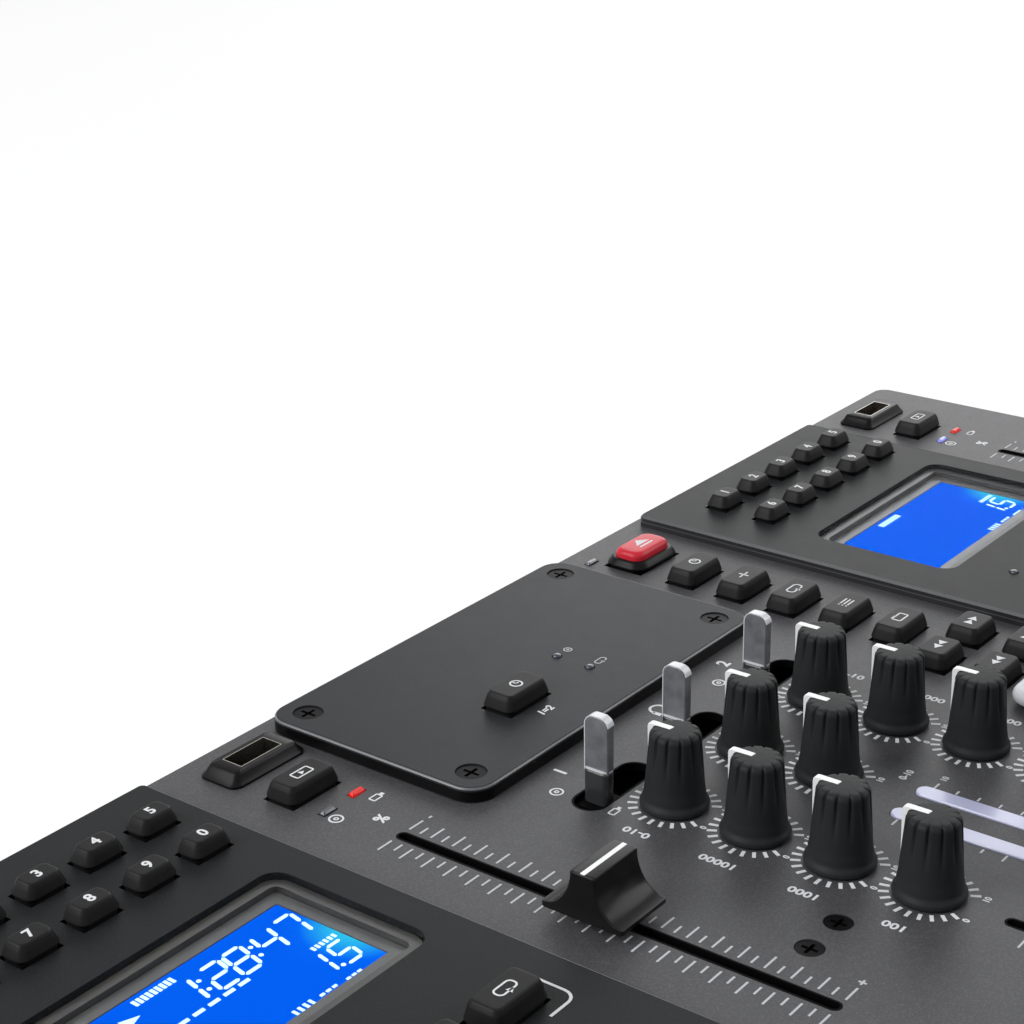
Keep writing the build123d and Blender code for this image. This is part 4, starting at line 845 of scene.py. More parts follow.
NODE_FINISHES = {
    "base_plate": CASE_PLASTIC, "case_walls": CASE_PLASTIC, "top_panel": TOP_PAINT,
    "deck_panels": DECK_PAINT, "centre_plate": PLATE_SATIN, "rubber_feet": RUBBER,
    "screws": SCREW_BLACK, "display_modules": DISPLAY_GREY, "circuit_boards": BOARD_PAINTED_SHADE,
    "phono_sockets": SOCKET_METAL, "jack_sockets": SOCKET_METAL, "mains_fittings": COLLAR_BLACK,
    "power_rocker": KEY_BLACK, "loader_frames": LOADER_BLACK,
}
LOADER_FINISHES = {
    "disc_tray": TRAY_BLACK, "tray_front": TRAY_BLACK, "loader_gear": GEAR_WHITE, "turntable": GEAR_WHITE,
    "laser_sled": LOADER_BLACK,
}


def dress(node: str, finish: Finish) -> None:
    """Give a node of the frame its finish.

    Args:
        node: name of the node.
        finish: its finish.
    """
    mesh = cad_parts[node].data
    mesh.materials.clear()
    mesh.materials.append(finish.material())


def dress_frame() -> None:
    """Give every node that stays in view its finish."""
    for node, finish in NODE_FINISHES.items():
        dress(node, finish)
    for side in SIDES:
        for name, finish in LOADER_FINISHES.items():
            dress(f"{side}_{name}", finish)


# ------------------------------------------------------------------ controls
@dataclass
class Control:
    """A control that stands for one node."""

    node: str

    def box(self) -> tuple[np.ndarray, np.ndarray, np.ndarray]:
        """Give the lowest and highest corner of the node, and its middle as x and y."""
        low, high = node_box(self.node)
        return low, high, (low[:2] + high[:2]) / 2


@dataclass
class RotaryKnob(Control):
    """Tall tapered knob with a flared skirt, twelve flutes and a white fin."""

    foot: float = 8.45
    sink: float = 0.42
    skirt: float = 7.5
    waist: float = 7.2
    crown: float = 6.15
    height: float = 19.6
    shaft: float = 3.0
    flutes: int = 12
    flute_depth: float = 0.72
    flute_angle: float = 3.3
    flute_foot: float = 6.5
    flute_rise: float = 11.6
    columns: int = 144
    fin_reach: float = 7.5
    fin_foot: float = 3.0
    fin_start: float = 1.2
    fin_rise: float = 0.12
    fin_half_top: float = 0.85
    fin_half_foot: float = 0.36
    fin_root: float = 0.4
    fin_round: float = 0.12

    def profile(self) -> np.ndarray:
        """Give the outside above the shaft as radii and heights from the foot."""
        corners = [
            (self.foot - 0.35, -self.sink), (self.foot, 0.0), (self.foot, 0.7), (self.foot - 0.15, 1.2),
            (self.skirt + 0.12, 2.1), (self.skirt, 3.4), (self.waist, 5.2),
            (self.crown + 0.05, self.height - 1.1), (self.crown - 0.5, self.height - 0.3),
            (self.crown - 1.3, self.height - 0.1), (2.0, self.height), (0.05, self.height),
        ]
        return refined(eased(corners, 0.5, 4), 0.55)

    def build(self) -> None:
        """Make the knob, its shaft and its fin.

        The radius at angle a and height z is R(z) less depth * f(z) * the sum over
        the flutes of exp(-((a - a_n) / w)^2), where f rises smoothly from 0 at the
        waist to 1 near the crown, and w widens from the crown down.
        """
        low, high, (x, y) = self.box()
        base = high[2] - self.height
        profile = self.profile()
        grid = turned(profile, self.columns)
        angle = np.arange(self.columns) * 2 * math.pi / self.columns
        pitch = 2 * math.pi / self.flutes
        offset = (angle - math.pi / 2) % pitch - pitch / 2
        rise = np.clip((profile[:, 1] - self.flute_foot) / self.flute_rise, 0, 1)
        fade = (rise * rise * (3 - 2 * rise))[:, None]
        width = np.radians(self.flute_angle) * (1.25 - 0.25 * fade)
        inward = np.clip(profile[:, :1] - 2.5, 0, 1) * self.flute_depth * fade
        radius = np.maximum(profile[:, :1] - inward * np.exp(-(offset[None] / width) ** 2), 0.02)
        grid[..., 0], grid[..., 1] = radius * np.cos(angle), radius * np.sin(angle)
        draft = MeshDraft()
        stem = turned(np.array([(self.shaft, low[2] - base), (self.shaft, -self.sink)]), self.columns)
        draft.sheet(moved(np.concatenate([stem, grid]), x, y, base))
        draft.sheet(moved(self.fin(profile), x, y, base), 1)
        draft.piece(self.node + "_cap", [KNOB_BLACK, POINTER_WHITE], self.node, "knob_black", (self.node,))

    def fin(self, profile: np.ndarray) -> np.ndarray:
        """Make the fin, a rib that stands upright on the side and runs over the crown.

        Its back follows the path (r, z) at a constant reach, round a corner and in
        over the crown.  Its root lies at the smaller of r and R(z) - d, where R is the
        knob's radius at that height and d the root's depth.

        Args:
            profile: radii and heights of the knob.

        Returns:
            The fin as a tube of six-cornered rings.
        """
        top, reach = self.height + self.fin_rise, self.fin_reach
        back_r, back_z = refined(eased([
            (reach - 0.25, self.fin_foot), (reach, self.fin_foot + 0.5), (reach, top - 1.0),
            (reach - 0.35, top - 0.15), (reach - 1.2, top), (self.fin_start, top),
        ], 0.5, 4), 0.8).T
        side = np.interp(back_z, profile[:, 1], profile[:, 0]) - self.fin_root
        root_r, root_z = np.minimum(back_r - 0.02, side), np.minimum(back_z, self.height - 0.5)
        share = np.clip((back_z - self.fin_foot) / (top - self.fin_foot), 0, 1)
        half = self.fin_half_foot + (self.fin_half_top - self.fin_half_foot) * share ** 1.5
        edge_r = back_r + np.sign(root_r - back_r) * self.fin_round
        edge_z = back_z + np.sign(root_z - back_z) * self.fin_round
        u = np.stack([-half, half, half, half - self.fin_round, self.fin_round - half, -half], 1)
        r = np.stack([root_r, root_r, edge_r, back_r, back_r, edge_r], 1)
        z = np.stack([root_z, root_z, edge_z, back_z, back_z, edge_z], 1)
        return np.stack([u, r, z], -1)


@dataclass
class FaderCap(Control):
    """Fader cap with a flat crown, hollow flanks and a square foot."""

    turn: float = 0.0
    width: float = 17.0
    length: float = 21.6
    crown: float = 6.6
    height: float = 11.6
    shoulder: float = 11.25
    foot: float = 1.5
    stem_width: float = 1.6
    stem_length: float = 5.0
    line_width: float = 1.25

    def build(self) -> None:
        """Make the cap, its white line and its stem.

        A flank is a quarter ellipse round a centre beside the crown: at angle t it is
        a cos t short of the foot's end and b sin t below the crown.
        """
        low, high, (x, y) = self.box()
        base, end = high[2] - self.height, self.length / 2
        t = np.linspace(math.pi / 2, 0, 22)
        reach, drop = (self.length - self.crown) / 2, self.shoulder - self.foot
        flank = np.stack([end - reach * np.cos(t), self.shoulder - drop * np.sin(t)], -1)
        start = [(end - 0.5, 0.0), (end, 0.4), (end, self.foot - 0.2)]
        lid = [(self.crown / 2 - 0.12, self.height - 0.08), (self.crown / 2 - 0.45, self.height)]
        half, level = np.concatenate([eased(start, 0.3), flank, lid]).T
        side = self.width / 2 - 0.02 * level - np.where(level > self.height - 0.2, 0.3, 0)
        side = np.where(level < 0.1, side - 0.4, side)
        draft = MeshDraft()
        draft.sheet(moved(rounded_rings(2 * side, 2 * half, 0.55, level, 3), x, y, base, self.turn))
        stem = rounded_rings(self.stem_width, self.stem_length, 0.1, np.array([low[2] - base, 0.5]), 1)
        draft.sheet(moved(stem, x, y, base, self.turn))
        mark = rounded_rings(self.width - 1.0, self.line_width, 0.15, np.array([-0.1, 0.05]), 2)
        draft.sheet(moved(mark, x, y, high[2], self.turn), 1)
        draft.piece(self.node + "_cap", [FADER_BLACK, POINTER_WHITE], self.node, "fader_black", (self.node,))


@dataclass
class PaddleLever(Control):
    """Slide lever: dark stem and a smoky clear paddle with a rounded top, with painted highlights on the
    stem's ring and along the paddle's crown.
    """

    stem: Size = (4.0, 7.3, 1.7)
    stem_height: float = 7.4
    paddle_width: float = 6.9
    paddle_thickness: float = 2.7
    paddle_foot: float = 0.6
    crown: float = 2.6
    crown_share: float = 0.36
    bevel: float = 0.3
    rim: float = 0.12
    lip: float = 0.34
    height: float = 21.68

    def build(self) -> None:
        """Make the carrier under the panel, the stem with its ring in painted highlight, and the paddle."""
        low, high, spot = self.box()
        draft = MeshDraft()
        width, depth = (high - low)[:2]
        draft.block(spot, (width, depth, 0.3), [(0, low[2]), (0, TOP - 1.4)], 3, 2)
        top = TOP + self.stem_height
        draft.block(spot, self.stem, eased([(0.0, TOP - 1.5), (0.0, top - 0.5), (0.5, top)], 0.3), 0, 6)
        # The ring at the stem's top is painted highlight (tag 2).
        ring = [(0.42, top - 0.12), (0.1, top), (0.1, top + self.lip), (0.62, top + self.lip + 0.05)]
        draft.block(spot, self.stem, ring, 2, 6)
        draft.sheet(moved(self.paddle(), *spot), 1)
        draft.sheet(moved(self.edge(), *spot), 2)
        finishes = [STEM_BLACK, PADDLE_SMOKE, PADDLE_PAINTED_HIGHLIGHT, SLOT_BLACK_AND_SHADE]
        draft.piece(self.node + "_blade", finishes, self.node, "lever_clear", (self.node,))

    def outline(self, inset: float) -> np.ndarray:
        """Give the paddle's outline as y and z.

        Its sides rise to the crown, a quarter ellipse on each side that leaves a flat
        middle of (1 - 2 * share) of the width.

        Args:
            inset: how far it is drawn in.

        Returns:
            Points from the foot up the far side, over the top and down the near side.
        """
        half, top = self.paddle_width / 2 - inset, TOP + self.height - inset
        t = np.linspace(0, math.pi / 2, 9)
        y = half - self.paddle_width * self.crown_share * (1 - np.cos(t))
        z = top - self.crown + self.crown * np.sin(t)
        foot = TOP + self.stem_height - self.paddle_foot
        right = np.stack([np.append(half, y), np.append(foot, z)], -1)
        return np.concatenate([right, right[::-1] * [-1, 1]])

    def paddle(self) -> np.ndarray:
        """Stack the outline through the paddle's thickness, with bevelled edges.

        Returns:
            Rings across the paddle, from its left face to its right.
        """
        half, bevel = self.paddle_thickness / 2, self.bevel
        rings = [
            np.insert(self.outline(inset), 0, place, axis=1)
            for place, inset in ((-half, bevel), (bevel - half, 0.0), (half - bevel, 0.0), (half, bevel))
        ]
        return np.stack(rings)

    def edge(self) -> np.ndarray:
        """Lay a thin band of painted highlight over the crown and down the far side.

        Its rings stand on the outline, one rim inwards and one outwards along the
        outline's normal.

        Returns:
            The band as a tube of four-cornered rings.
        """
        line = self.outline(0.0)[:-2]
        step = np.gradient(line, axis=0)
        normal = np.stack([step[:, 1], -step[:, 0]], -1) / np.linalg.norm(step, axis=1, keepdims=True)
        outer, inner = line + normal * self.rim, line - normal * self.rim
        half = self.paddle_thickness / 2 - 0.1
        across = np.array([-half, half, half, -half])
        body = np.stack([inner, inner, outer, outer], 1)
        return np.concatenate([np.broadcast_to(across[None, :, None], body.shape[:2] + (1,)), body], -1)


@dataclass
class KeySet(Control):
    """Moulded keys of one body, each with a print on its flat top."""

    panel: float = TOP
    bevel: float = 1.3
    squeeze: float = 0.8
    flare: float = 0.6
    draft: MeshDraft = field(default_factory=MeshDraft)

    def key(self, spot: Spot, size: Size, rise: float, sign: Sign | str, height: float = 3.2) -> None:
        """Add one key: a shank, a skirt that flares over the opening, and a bevelled top.

        Args:
            spot: its middle.
            size: width, depth and corner radius.
            rise: how far it stands above the panel.
            sign: pictogram or figures on its top.
            height: height of the print.
        """
        low, panel, top = node_box(self.node)[0][2], self.panel, self.panel + rise
        line = eased([
            (0.0, low), (0.0, panel + 0.35), (-self.flare, panel + 1.0), (-self.flare, panel + 1.25),
            (0.25, top - self.bevel), (0.8, top - 0.3), (1.1, top), (2.1, top),
        ], 0.3)
        self.draft.block(spot, size, line, shrink=0.55, squeeze=self.squeeze)
        if isinstance(sign, Sign):
            self.draft.icon(sign, height, *spot, top, tag=1)
        else:
            self.draft.figures(sign, height, *spot, top, tag=1)

    def finished(self) -> None:
        """Make the piece that stands for the node."""
        finishes = [KEY_BLACK, INK_WHITE]
        self.draft.piece(self.node + "_caps", finishes, self.node, "key_black", (self.node,), sharp=28.0)


@dataclass
class DeckKeys:
    """Every key of one deck: numbers, loop, mode and search keys, source, eject."""

    side: str
    number_size: Size = (10.5, 6.9, 2.0)
    number_rise: float = 4.5
    number_print: float = 4.2
    number_pitch: float = 17.1
    number_spot: Spot = (4.75, 129.1)
    loop_rise: float = 5.6
    loop_spot: Spot = (29.8, 17.9)
    loop_pitch: float = 22.0
    key_rise: float = 5.1
    mode_spot: Spot = (-76.4, 110.1)
    mode_pitch: float = 17.0
    search_size: Size = (13.0, 9.4, 2.0)
    search_spread: float = 19.6
    search_print: float = 3.4
    source_spot: Spot = (77.0, 116.8)
    source_print: float = 3.0
    eject_spot: Spot = (-74.4, 130.4)
    eject_shank: Size = (20.0, 12.5, 4.0)
    eject_foot: Size = (21.8, 14.3, 4.8)
    eject_cap: Size = (17.4, 9.9, 3.2)
    eject_reach: float = 3.2
    eject_bar: float = -1.6
    eject_line: float = 0.7
    eject_wedge: Spot = (-0.4, 2.5)

    def build(self) -> None:
        """Make all keys of the deck."""
        self.panel_keys()
        self.side_keys()
        source = KeySet(f"{self.side}_source_key")
        source.key(self.placed(self.source_spot), KEY_SIZE, self.key_rise, Sign.SOURCE, self.source_print)
        source.finished()
        self.eject_key()

    def placed(self, spot: Spot, right: float = 0.0, down: float = 0.0) -> Spot:
        """Give a spot of the deck, shifted to the right and towards the user."""
        return SIDES[self.side] + spot[0] + right, spot[1] - down

    def panel_keys(self) -> None:
        """Make the ten number keys and the three loop keys."""
        keys = KeySet(f"{self.side}_panel_keys", DECK_TOP)
        for number in range(10):
            row, column = divmod(number, 5)
            spot = self.placed(self.number_spot, (column - 2) * self.number_pitch, row * self.number_pitch)
            keys.key(spot, self.number_size, self.number_rise, str((number + 1) % 10), self.number_print)
        for step, sign in enumerate((Sign.LOOP, Sign.SKIP_ON, Sign.SKIP_BACK)):
            keys.key(self.placed(self.loop_spot, -step * self.loop_pitch), KEY_SIZE, self.loop_rise, sign)
        keys.finished()

    def side_keys(self) -> None:
        """Make the five mode keys and the four search keys."""
        keys = KeySet(f"{self.side}_side_keys")
        for step, sign in enumerate((Sign.CLOCK, Sign.BAR, Sign.LOOP, Sign.LIST, Sign.FOLDER)):
            keys.key(self.placed(self.mode_spot, 0.0, step * self.mode_pitch), KEY_SIZE, self.key_rise, sign)
        for row in (5, 6):
            for way, sign in ((-0.5, Sign.SKIP_BACK), (0.5, Sign.SKIP_ON)):
                spot = self.placed(self.mode_spot, way * self.search_spread, row * self.mode_pitch)
                keys.key(spot, self.search_size, self.key_rise, sign, self.search_print)
        keys.finished()

    def eject_key(self) -> None:
        """Make the eject key: red cap with a faint painted glow in a broad dark foot, with a bar and a wedge.
        """
        node = f"{self.side}_eject_key"
        low, high = node_box(node)
        x, y = spot = self.placed(self.eject_spot)
        draft = MeshDraft()
        draft.block(spot, self.eject_shank, [(0, low[2]), (0, TOP + 1.4)])
        foot = [(0.0, TOP + 0.9), (0.0, TOP + 1.3), (1.1, TOP + 3.0), (2.2, TOP + 3.1), (2.3, TOP + 2.2)]
        draft.block(spot, self.eject_foot, eased(foot, 0.3), shrink=0.6)
        cap = [(0.0, TOP + 2.0), (0.0, high[2] - 1.1), (0.9, high[2] - 0.1), (3.0, high[2])]
        draft.block(spot, self.eject_cap, eased(cap, 0.7, 5), 1, shrink=0.5)
        flat = (high[2] - 0.03, high[2] + 0.02, 2)
        reach, (base, tip) = self.eject_reach, self.eject_wedge
        bar = np.array([[x - reach, y + self.eject_bar], [x + reach, y + self.eject_bar]])
        draft.ribbon(bar, self.eject_line, *flat)
        draft.prisms((np.array([[-reach, base], [reach, base], [0.0, tip]]) + [x, y])[None], *flat)
        draft.piece(node + "_cap", [COLLAR_BLACK, EJECT_RED_PAINTED_GLOW, INK_WHITE], node, "eject_red", (node,))


@dataclass
class Pad(Control):
    """Large transport pad: a crowned top that overhangs its shank, with a printed ring and sign."""

    sign: Sign
    size: Size = (46.0, 32.0, 7.0)
    shift: Spot = (-1.6, 1.0)
    shank: Size = (38.0, 30.0, 6.0)
    lift: float = 1.3
    ring_inset: float = 9.0
    ring_corner: float = 3.4
    ring_width: float = 0.6
    sign_size: float = 8.0

    def build(self) -> None:
        """Make the pad."""
        low, high, spot = self.box()
        foot, top = TOP + self.lift, high[2]
        draft = MeshDraft()
        draft.block(spot, self.shank, [(0, low[2]), (0, foot + 0.1)], 2, 6)
        spot = spot + self.shift
        line = [(0.8, foot), (0.0, foot + 0.5), (0.0, top - 1.4), (1.3, top - 0.25), (8.0, top)]
        draft.block(spot, self.size, eased(line, 1.0, 5), 0, 8, shrink=0.4)
        width, depth = self.size[0] - self.ring_inset, self.size[1] - self.ring_inset
        ring = rounded_rings(width, depth, self.ring_corner, 0, 6)[0, :, :2] + spot
        draft.ribbon(ring, self.ring_width, top - 0.3, top - 0.02, 1, loop=True)
        draft.icon(self.sign, self.sign_size, *spot, top - 0.02, tag=1)
        draft.piece(self.node + "_cap", [PAD_GREY, INK_DARK, KEY_BLACK], self.node, "pad_grey", (self.node,))


@dataclass
class JogWheel:
    """Jog wheel: grip rim with scallops, sloped shoulder and dished touch plate."""

    side: str
    y: float = -64.0
    radius: float = 49.0
    hub: float = 7.0
    scallops: int = 30
    scallop_depth: float = 1.1
    columns: int = 240
    plate: float = 38.5
    hollow: float = 24.0
    hollow_radius: float = 9.5
    hollow_depth: float = 2.2

    def build(self) -> None:
        """Make the wheel and its touch plate.

        The rim's radius loses depth * |cos(n a / 2)|^6 at angle a, so that it has n
        scallops.  The plate sinks by depth * (1 - (d / r)^2)^2 round the hollow.
        """
        node = f"{self.side}_jog_wheel"
        low, high = node_box(node)
        x, y, top = SIDES[self.side], self.y, high[2]
        under = DECK_TOP + 1.2
        profile = refined(eased([
            (self.radius - 1.5, under), (self.radius, under + 0.9), (self.radius, top - 5.4),
            (self.radius - 1.6, top - 2.6), (self.radius - 5.0, top - 0.5), (self.radius - 9.0, top),
            (self.plate + 0.2, top - 0.3), (self.plate, top - 1.2),
        ], 0.9, 4), 1.5)
        angle = np.arange(self.columns) * 2 * math.pi / self.columns
        scallop = np.abs(np.cos(self.scallops * angle / 2)) ** 6
        grip = np.clip((profile[:, 0] - self.radius + 3) / 3, 0, 1)[:, None]
        radius = profile[:, :1] - self.scallop_depth * grip * scallop[None]
        height = np.broadcast_to(profile[:, 1:], radius.shape)
        rim = np.stack([radius * np.cos(angle), radius * np.sin(angle), height], -1)
        hub = turned(np.array([(self.hub, low[2]), (self.hub, under)]), self.columns)
        draft = MeshDraft()
        draft.sheet(moved(np.concatenate([hub, rim]), x, y))
        share = np.linspace(1, 0.002, 48)[:, None]
        px, py = self.plate * share * np.cos(angle), self.plate * share * np.sin(angle)
        away = np.hypot(px - self.hollow, py) / self.hollow_radius
        sink = self.hollow_depth * np.where(away < 1, (1 - away ** 2) ** 2, 0)
        disc = np.stack([px, py, top - 1.1 - sink], -1)
        edge = disc[:1] * [1, 1, 0] + [0, 0, top - 3.6]
        draft.sheet(moved(np.concatenate([edge, disc]), x, y), 1)
        draft.piece(node + "_wheel", [JOG_BLACK, JOG_PLATE], node, "jog_black", (node,))


# ------------------------------------------------------------------ display
class Segment(Enum):
    """Bars of a seven-bar figure: letter, middle of the bar, and whether it is upright."""

    TOP = ("a", 0.0, 1.0, False)
    RIGHT_HIGH = ("b", 1.0, 0.5, True)
    RIGHT_LOW = ("c", 1.0, -0.5, True)
    FOOT = ("d", 0.0, -1.0, False)
    LEFT_LOW = ("e", -1.0, -0.5, True)
    LEFT_HIGH = ("f", -1.0, 0.5, True)
    MIDDLE = ("g", 0.0, 0.0, False)


LIT = {"1": "bc", "2": "abged", "4": "fgbc", "5": "afgcd", "7": "abc", "8": "abcdefg"}


@dataclass
class DisplayPanel:
    """Lit face of a deck's display, with its figures."""

    side: str
    face: Size = (64.3, 32.3, 0.4)
    face_level: float = 71.8
    sheet: float = 0.12
    lamp_spot: Spot = (37.0, -4.0)
    slant: float = 0.2
    time_size: float = 9.8
    time_row: float = 7.1
    time_columns: tuple[float, ...] = (-3.7, 5.2, 11.8, 20.4, 27.7)
    colons: Spot = (0.6, 16.1)
    speed_size: float = 8.6
    speed_row: float = -8.2
    speed_columns: Spot = (20.0, 27.3)
    arrow_spot: Spot = (-16.8, 9.9)
    dot: float = 0.6
    draft: MeshDraft = field(default_factory=MeshDraft)

    @property
    def middle(self) -> np.ndarray:
        """Give the middle of the face."""
        return np.array([SIDES[self.side] + WINDOW_SPOT[0], WINDOW_SPOT[1]])

    def build(self) -> None:
        """Make the lit face and the figures on it."""
        lamp = tuple(self.middle + self.lamp_spot)
        glow = DisplayGlow(f"{self.side}_display_blue", (2, 106, 255), 0.5, 0.0, glow=1.0, lamp=lamp)
        level = self.face_level + 0.02
        self.draft.block(self.middle, self.face, [(0, level), (0, level + self.sheet)], 0, 2)
        if self.side == "left":
            self.time()
        for figure, x in zip("15", self.speed_columns):
            self.number(figure, x, self.speed_row, self.speed_size)
        self.dots([(23.4, self.speed_row - 3.2)])
        self.small_marks()
        self.draft.piece(f"{self.side}_display_face", [glow, SEGMENT_WHITE], "body", "display_grey")

    def shapes(self, outlines: np.ndarray) -> None:
        """Add lit shapes, given round the middle of the face."""
        level = self.face_level + self.sheet + SINK
        self.draft.prisms(outlines + self.middle, level, level + INK, 1)

    def number(self, figure: str, x: float, y: float, height: float) -> None:
        """Add one seven-bar figure.

        A bar is a six-cornered prism.  Its points are slanted along x by the
        slant times their height above the figure's middle.

        Args:
            figure: the figure.
            x: its middle.
            y: its middle.
            height: its height.
        """
        half_h, half_w, bar = height * 0.45, height * 0.27, height * 0.055
        for segment in Segment:
            letter, along, up, upright = segment.value
            if letter not in LIT[figure]:
                continue
            end = (half_h if upright else 2 * half_w) * 0.45
            tip = end - bar
            shape = np.array([[-end, 0], [-tip, -bar], [tip, -bar], [end, 0], [tip, bar], [-tip, bar]])
            if upright:
                shape = np.stack([-shape[:, 1], shape[:, 0]], -1)
            shape = shape + [along * half_w, up * half_h]
            shape[:, 0] += shape[:, 1] * self.slant
            self.shapes((shape + [x, y])[None])

    def dots(self, spots: list[Spot]) -> None:
        """Add round dots."""
        self.shapes(circle(self.dot, 10)[None] + np.array(spots)[:, None])

    def dashes(self, x: float, y: float, count: int, pitch: float, width: float, depth: float) -> None:
        """Add a row of slanted dashes of one size.

        Args:
            x: middle of the row.
            y: middle of the row.
            count: number of dashes.
            pitch: distance between dashes.
            width: width of a dash.
            depth: height of a dash.
        """
        unit = np.array([[-0.5, -0.5], [0.5, -0.5], [0.55, 0.5], [-0.45, 0.5]]) * [width, depth]
        place = x + (np.arange(count) - (count - 1) / 2) * pitch
        self.shapes(unit[None] + np.stack([place, np.full(count, y)], -1)[:, None])

    def time(self) -> None:
        """Add the time and the arrow beside it."""
        for figure, x in zip("12847", self.time_columns):
            self.number(figure, x, self.time_row, self.time_size)
        self.dots([(x + 0.35 * up, self.time_row + 1.9 * up) for x in self.colons for up in (-1, 1)])
        self.shapes(np.array([[[-2.6, -1.8], [2.0, 0.0], [-2.6, 1.8]]]) + self.arrow_spot)

    def small_marks(self) -> None:
        """Add the long dashes under the time and rows of small marks."""
        if self.side == "left":
            self.dashes(-4.8, 1.0, 6, -4.4, 3.1, 1.1)
        self.dashes(-7.4, 13.8, 9, 1.3, 0.9, 2.2)
        self.dashes(27.2, -2.3, 6, 1.3, 0.8, 1.5)
        self.dashes(7.0, -15.2, 4, 1.6, 0.8, 2.0)
        self.dashes(14.5, -15.2, 3, 1.9, 1.3, 0.8)
        self.dashes(22.0, -15.6, 3, 1.7, 1.2, 0.7)


@dataclass
class DisplayWindows:
    """The two clear windows, flush with their deck panels, and the masks below them."""

    size: Size = (78.0, 46.4, 5.0)
    thickness: float = 1.8
    ledge: float = 3.0
    skin: float = 0.1

    def build(self) -> None:
        """Make the panes, and the grey lining of the ledge and the wall round a display."""
        ledge, wall = DECK_TOP - self.thickness, -self.ledge
        line = eased([(0.0, ledge), (0.0, DECK_TOP - 0.3), (0.35, DECK_TOP)], 0.2)
        section = [
            (wall + 0.02, DISPLAY_TOP), (wall + 0.02, ledge - 0.02), (-0.2, ledge - 0.02),
            (-0.2, ledge + self.skin), (wall - self.skin, ledge + self.skin), (wall - self.skin, DISPLAY_TOP),
        ]
        panes, masks = MeshDraft(), MeshDraft()
        for middle in SIDES.values():
            spot = (middle + WINDOW_SPOT[0], WINDOW_SPOT[1])
            panes.block(spot, self.size, line, 0, 8)
            masks.band(spot, self.size, section)
        panes.piece("display_panes", [GLASS], "body", "window_clear", ("display_windows",))
        masks.piece("display_masks", [MASK_GREY], "body", "display_grey")


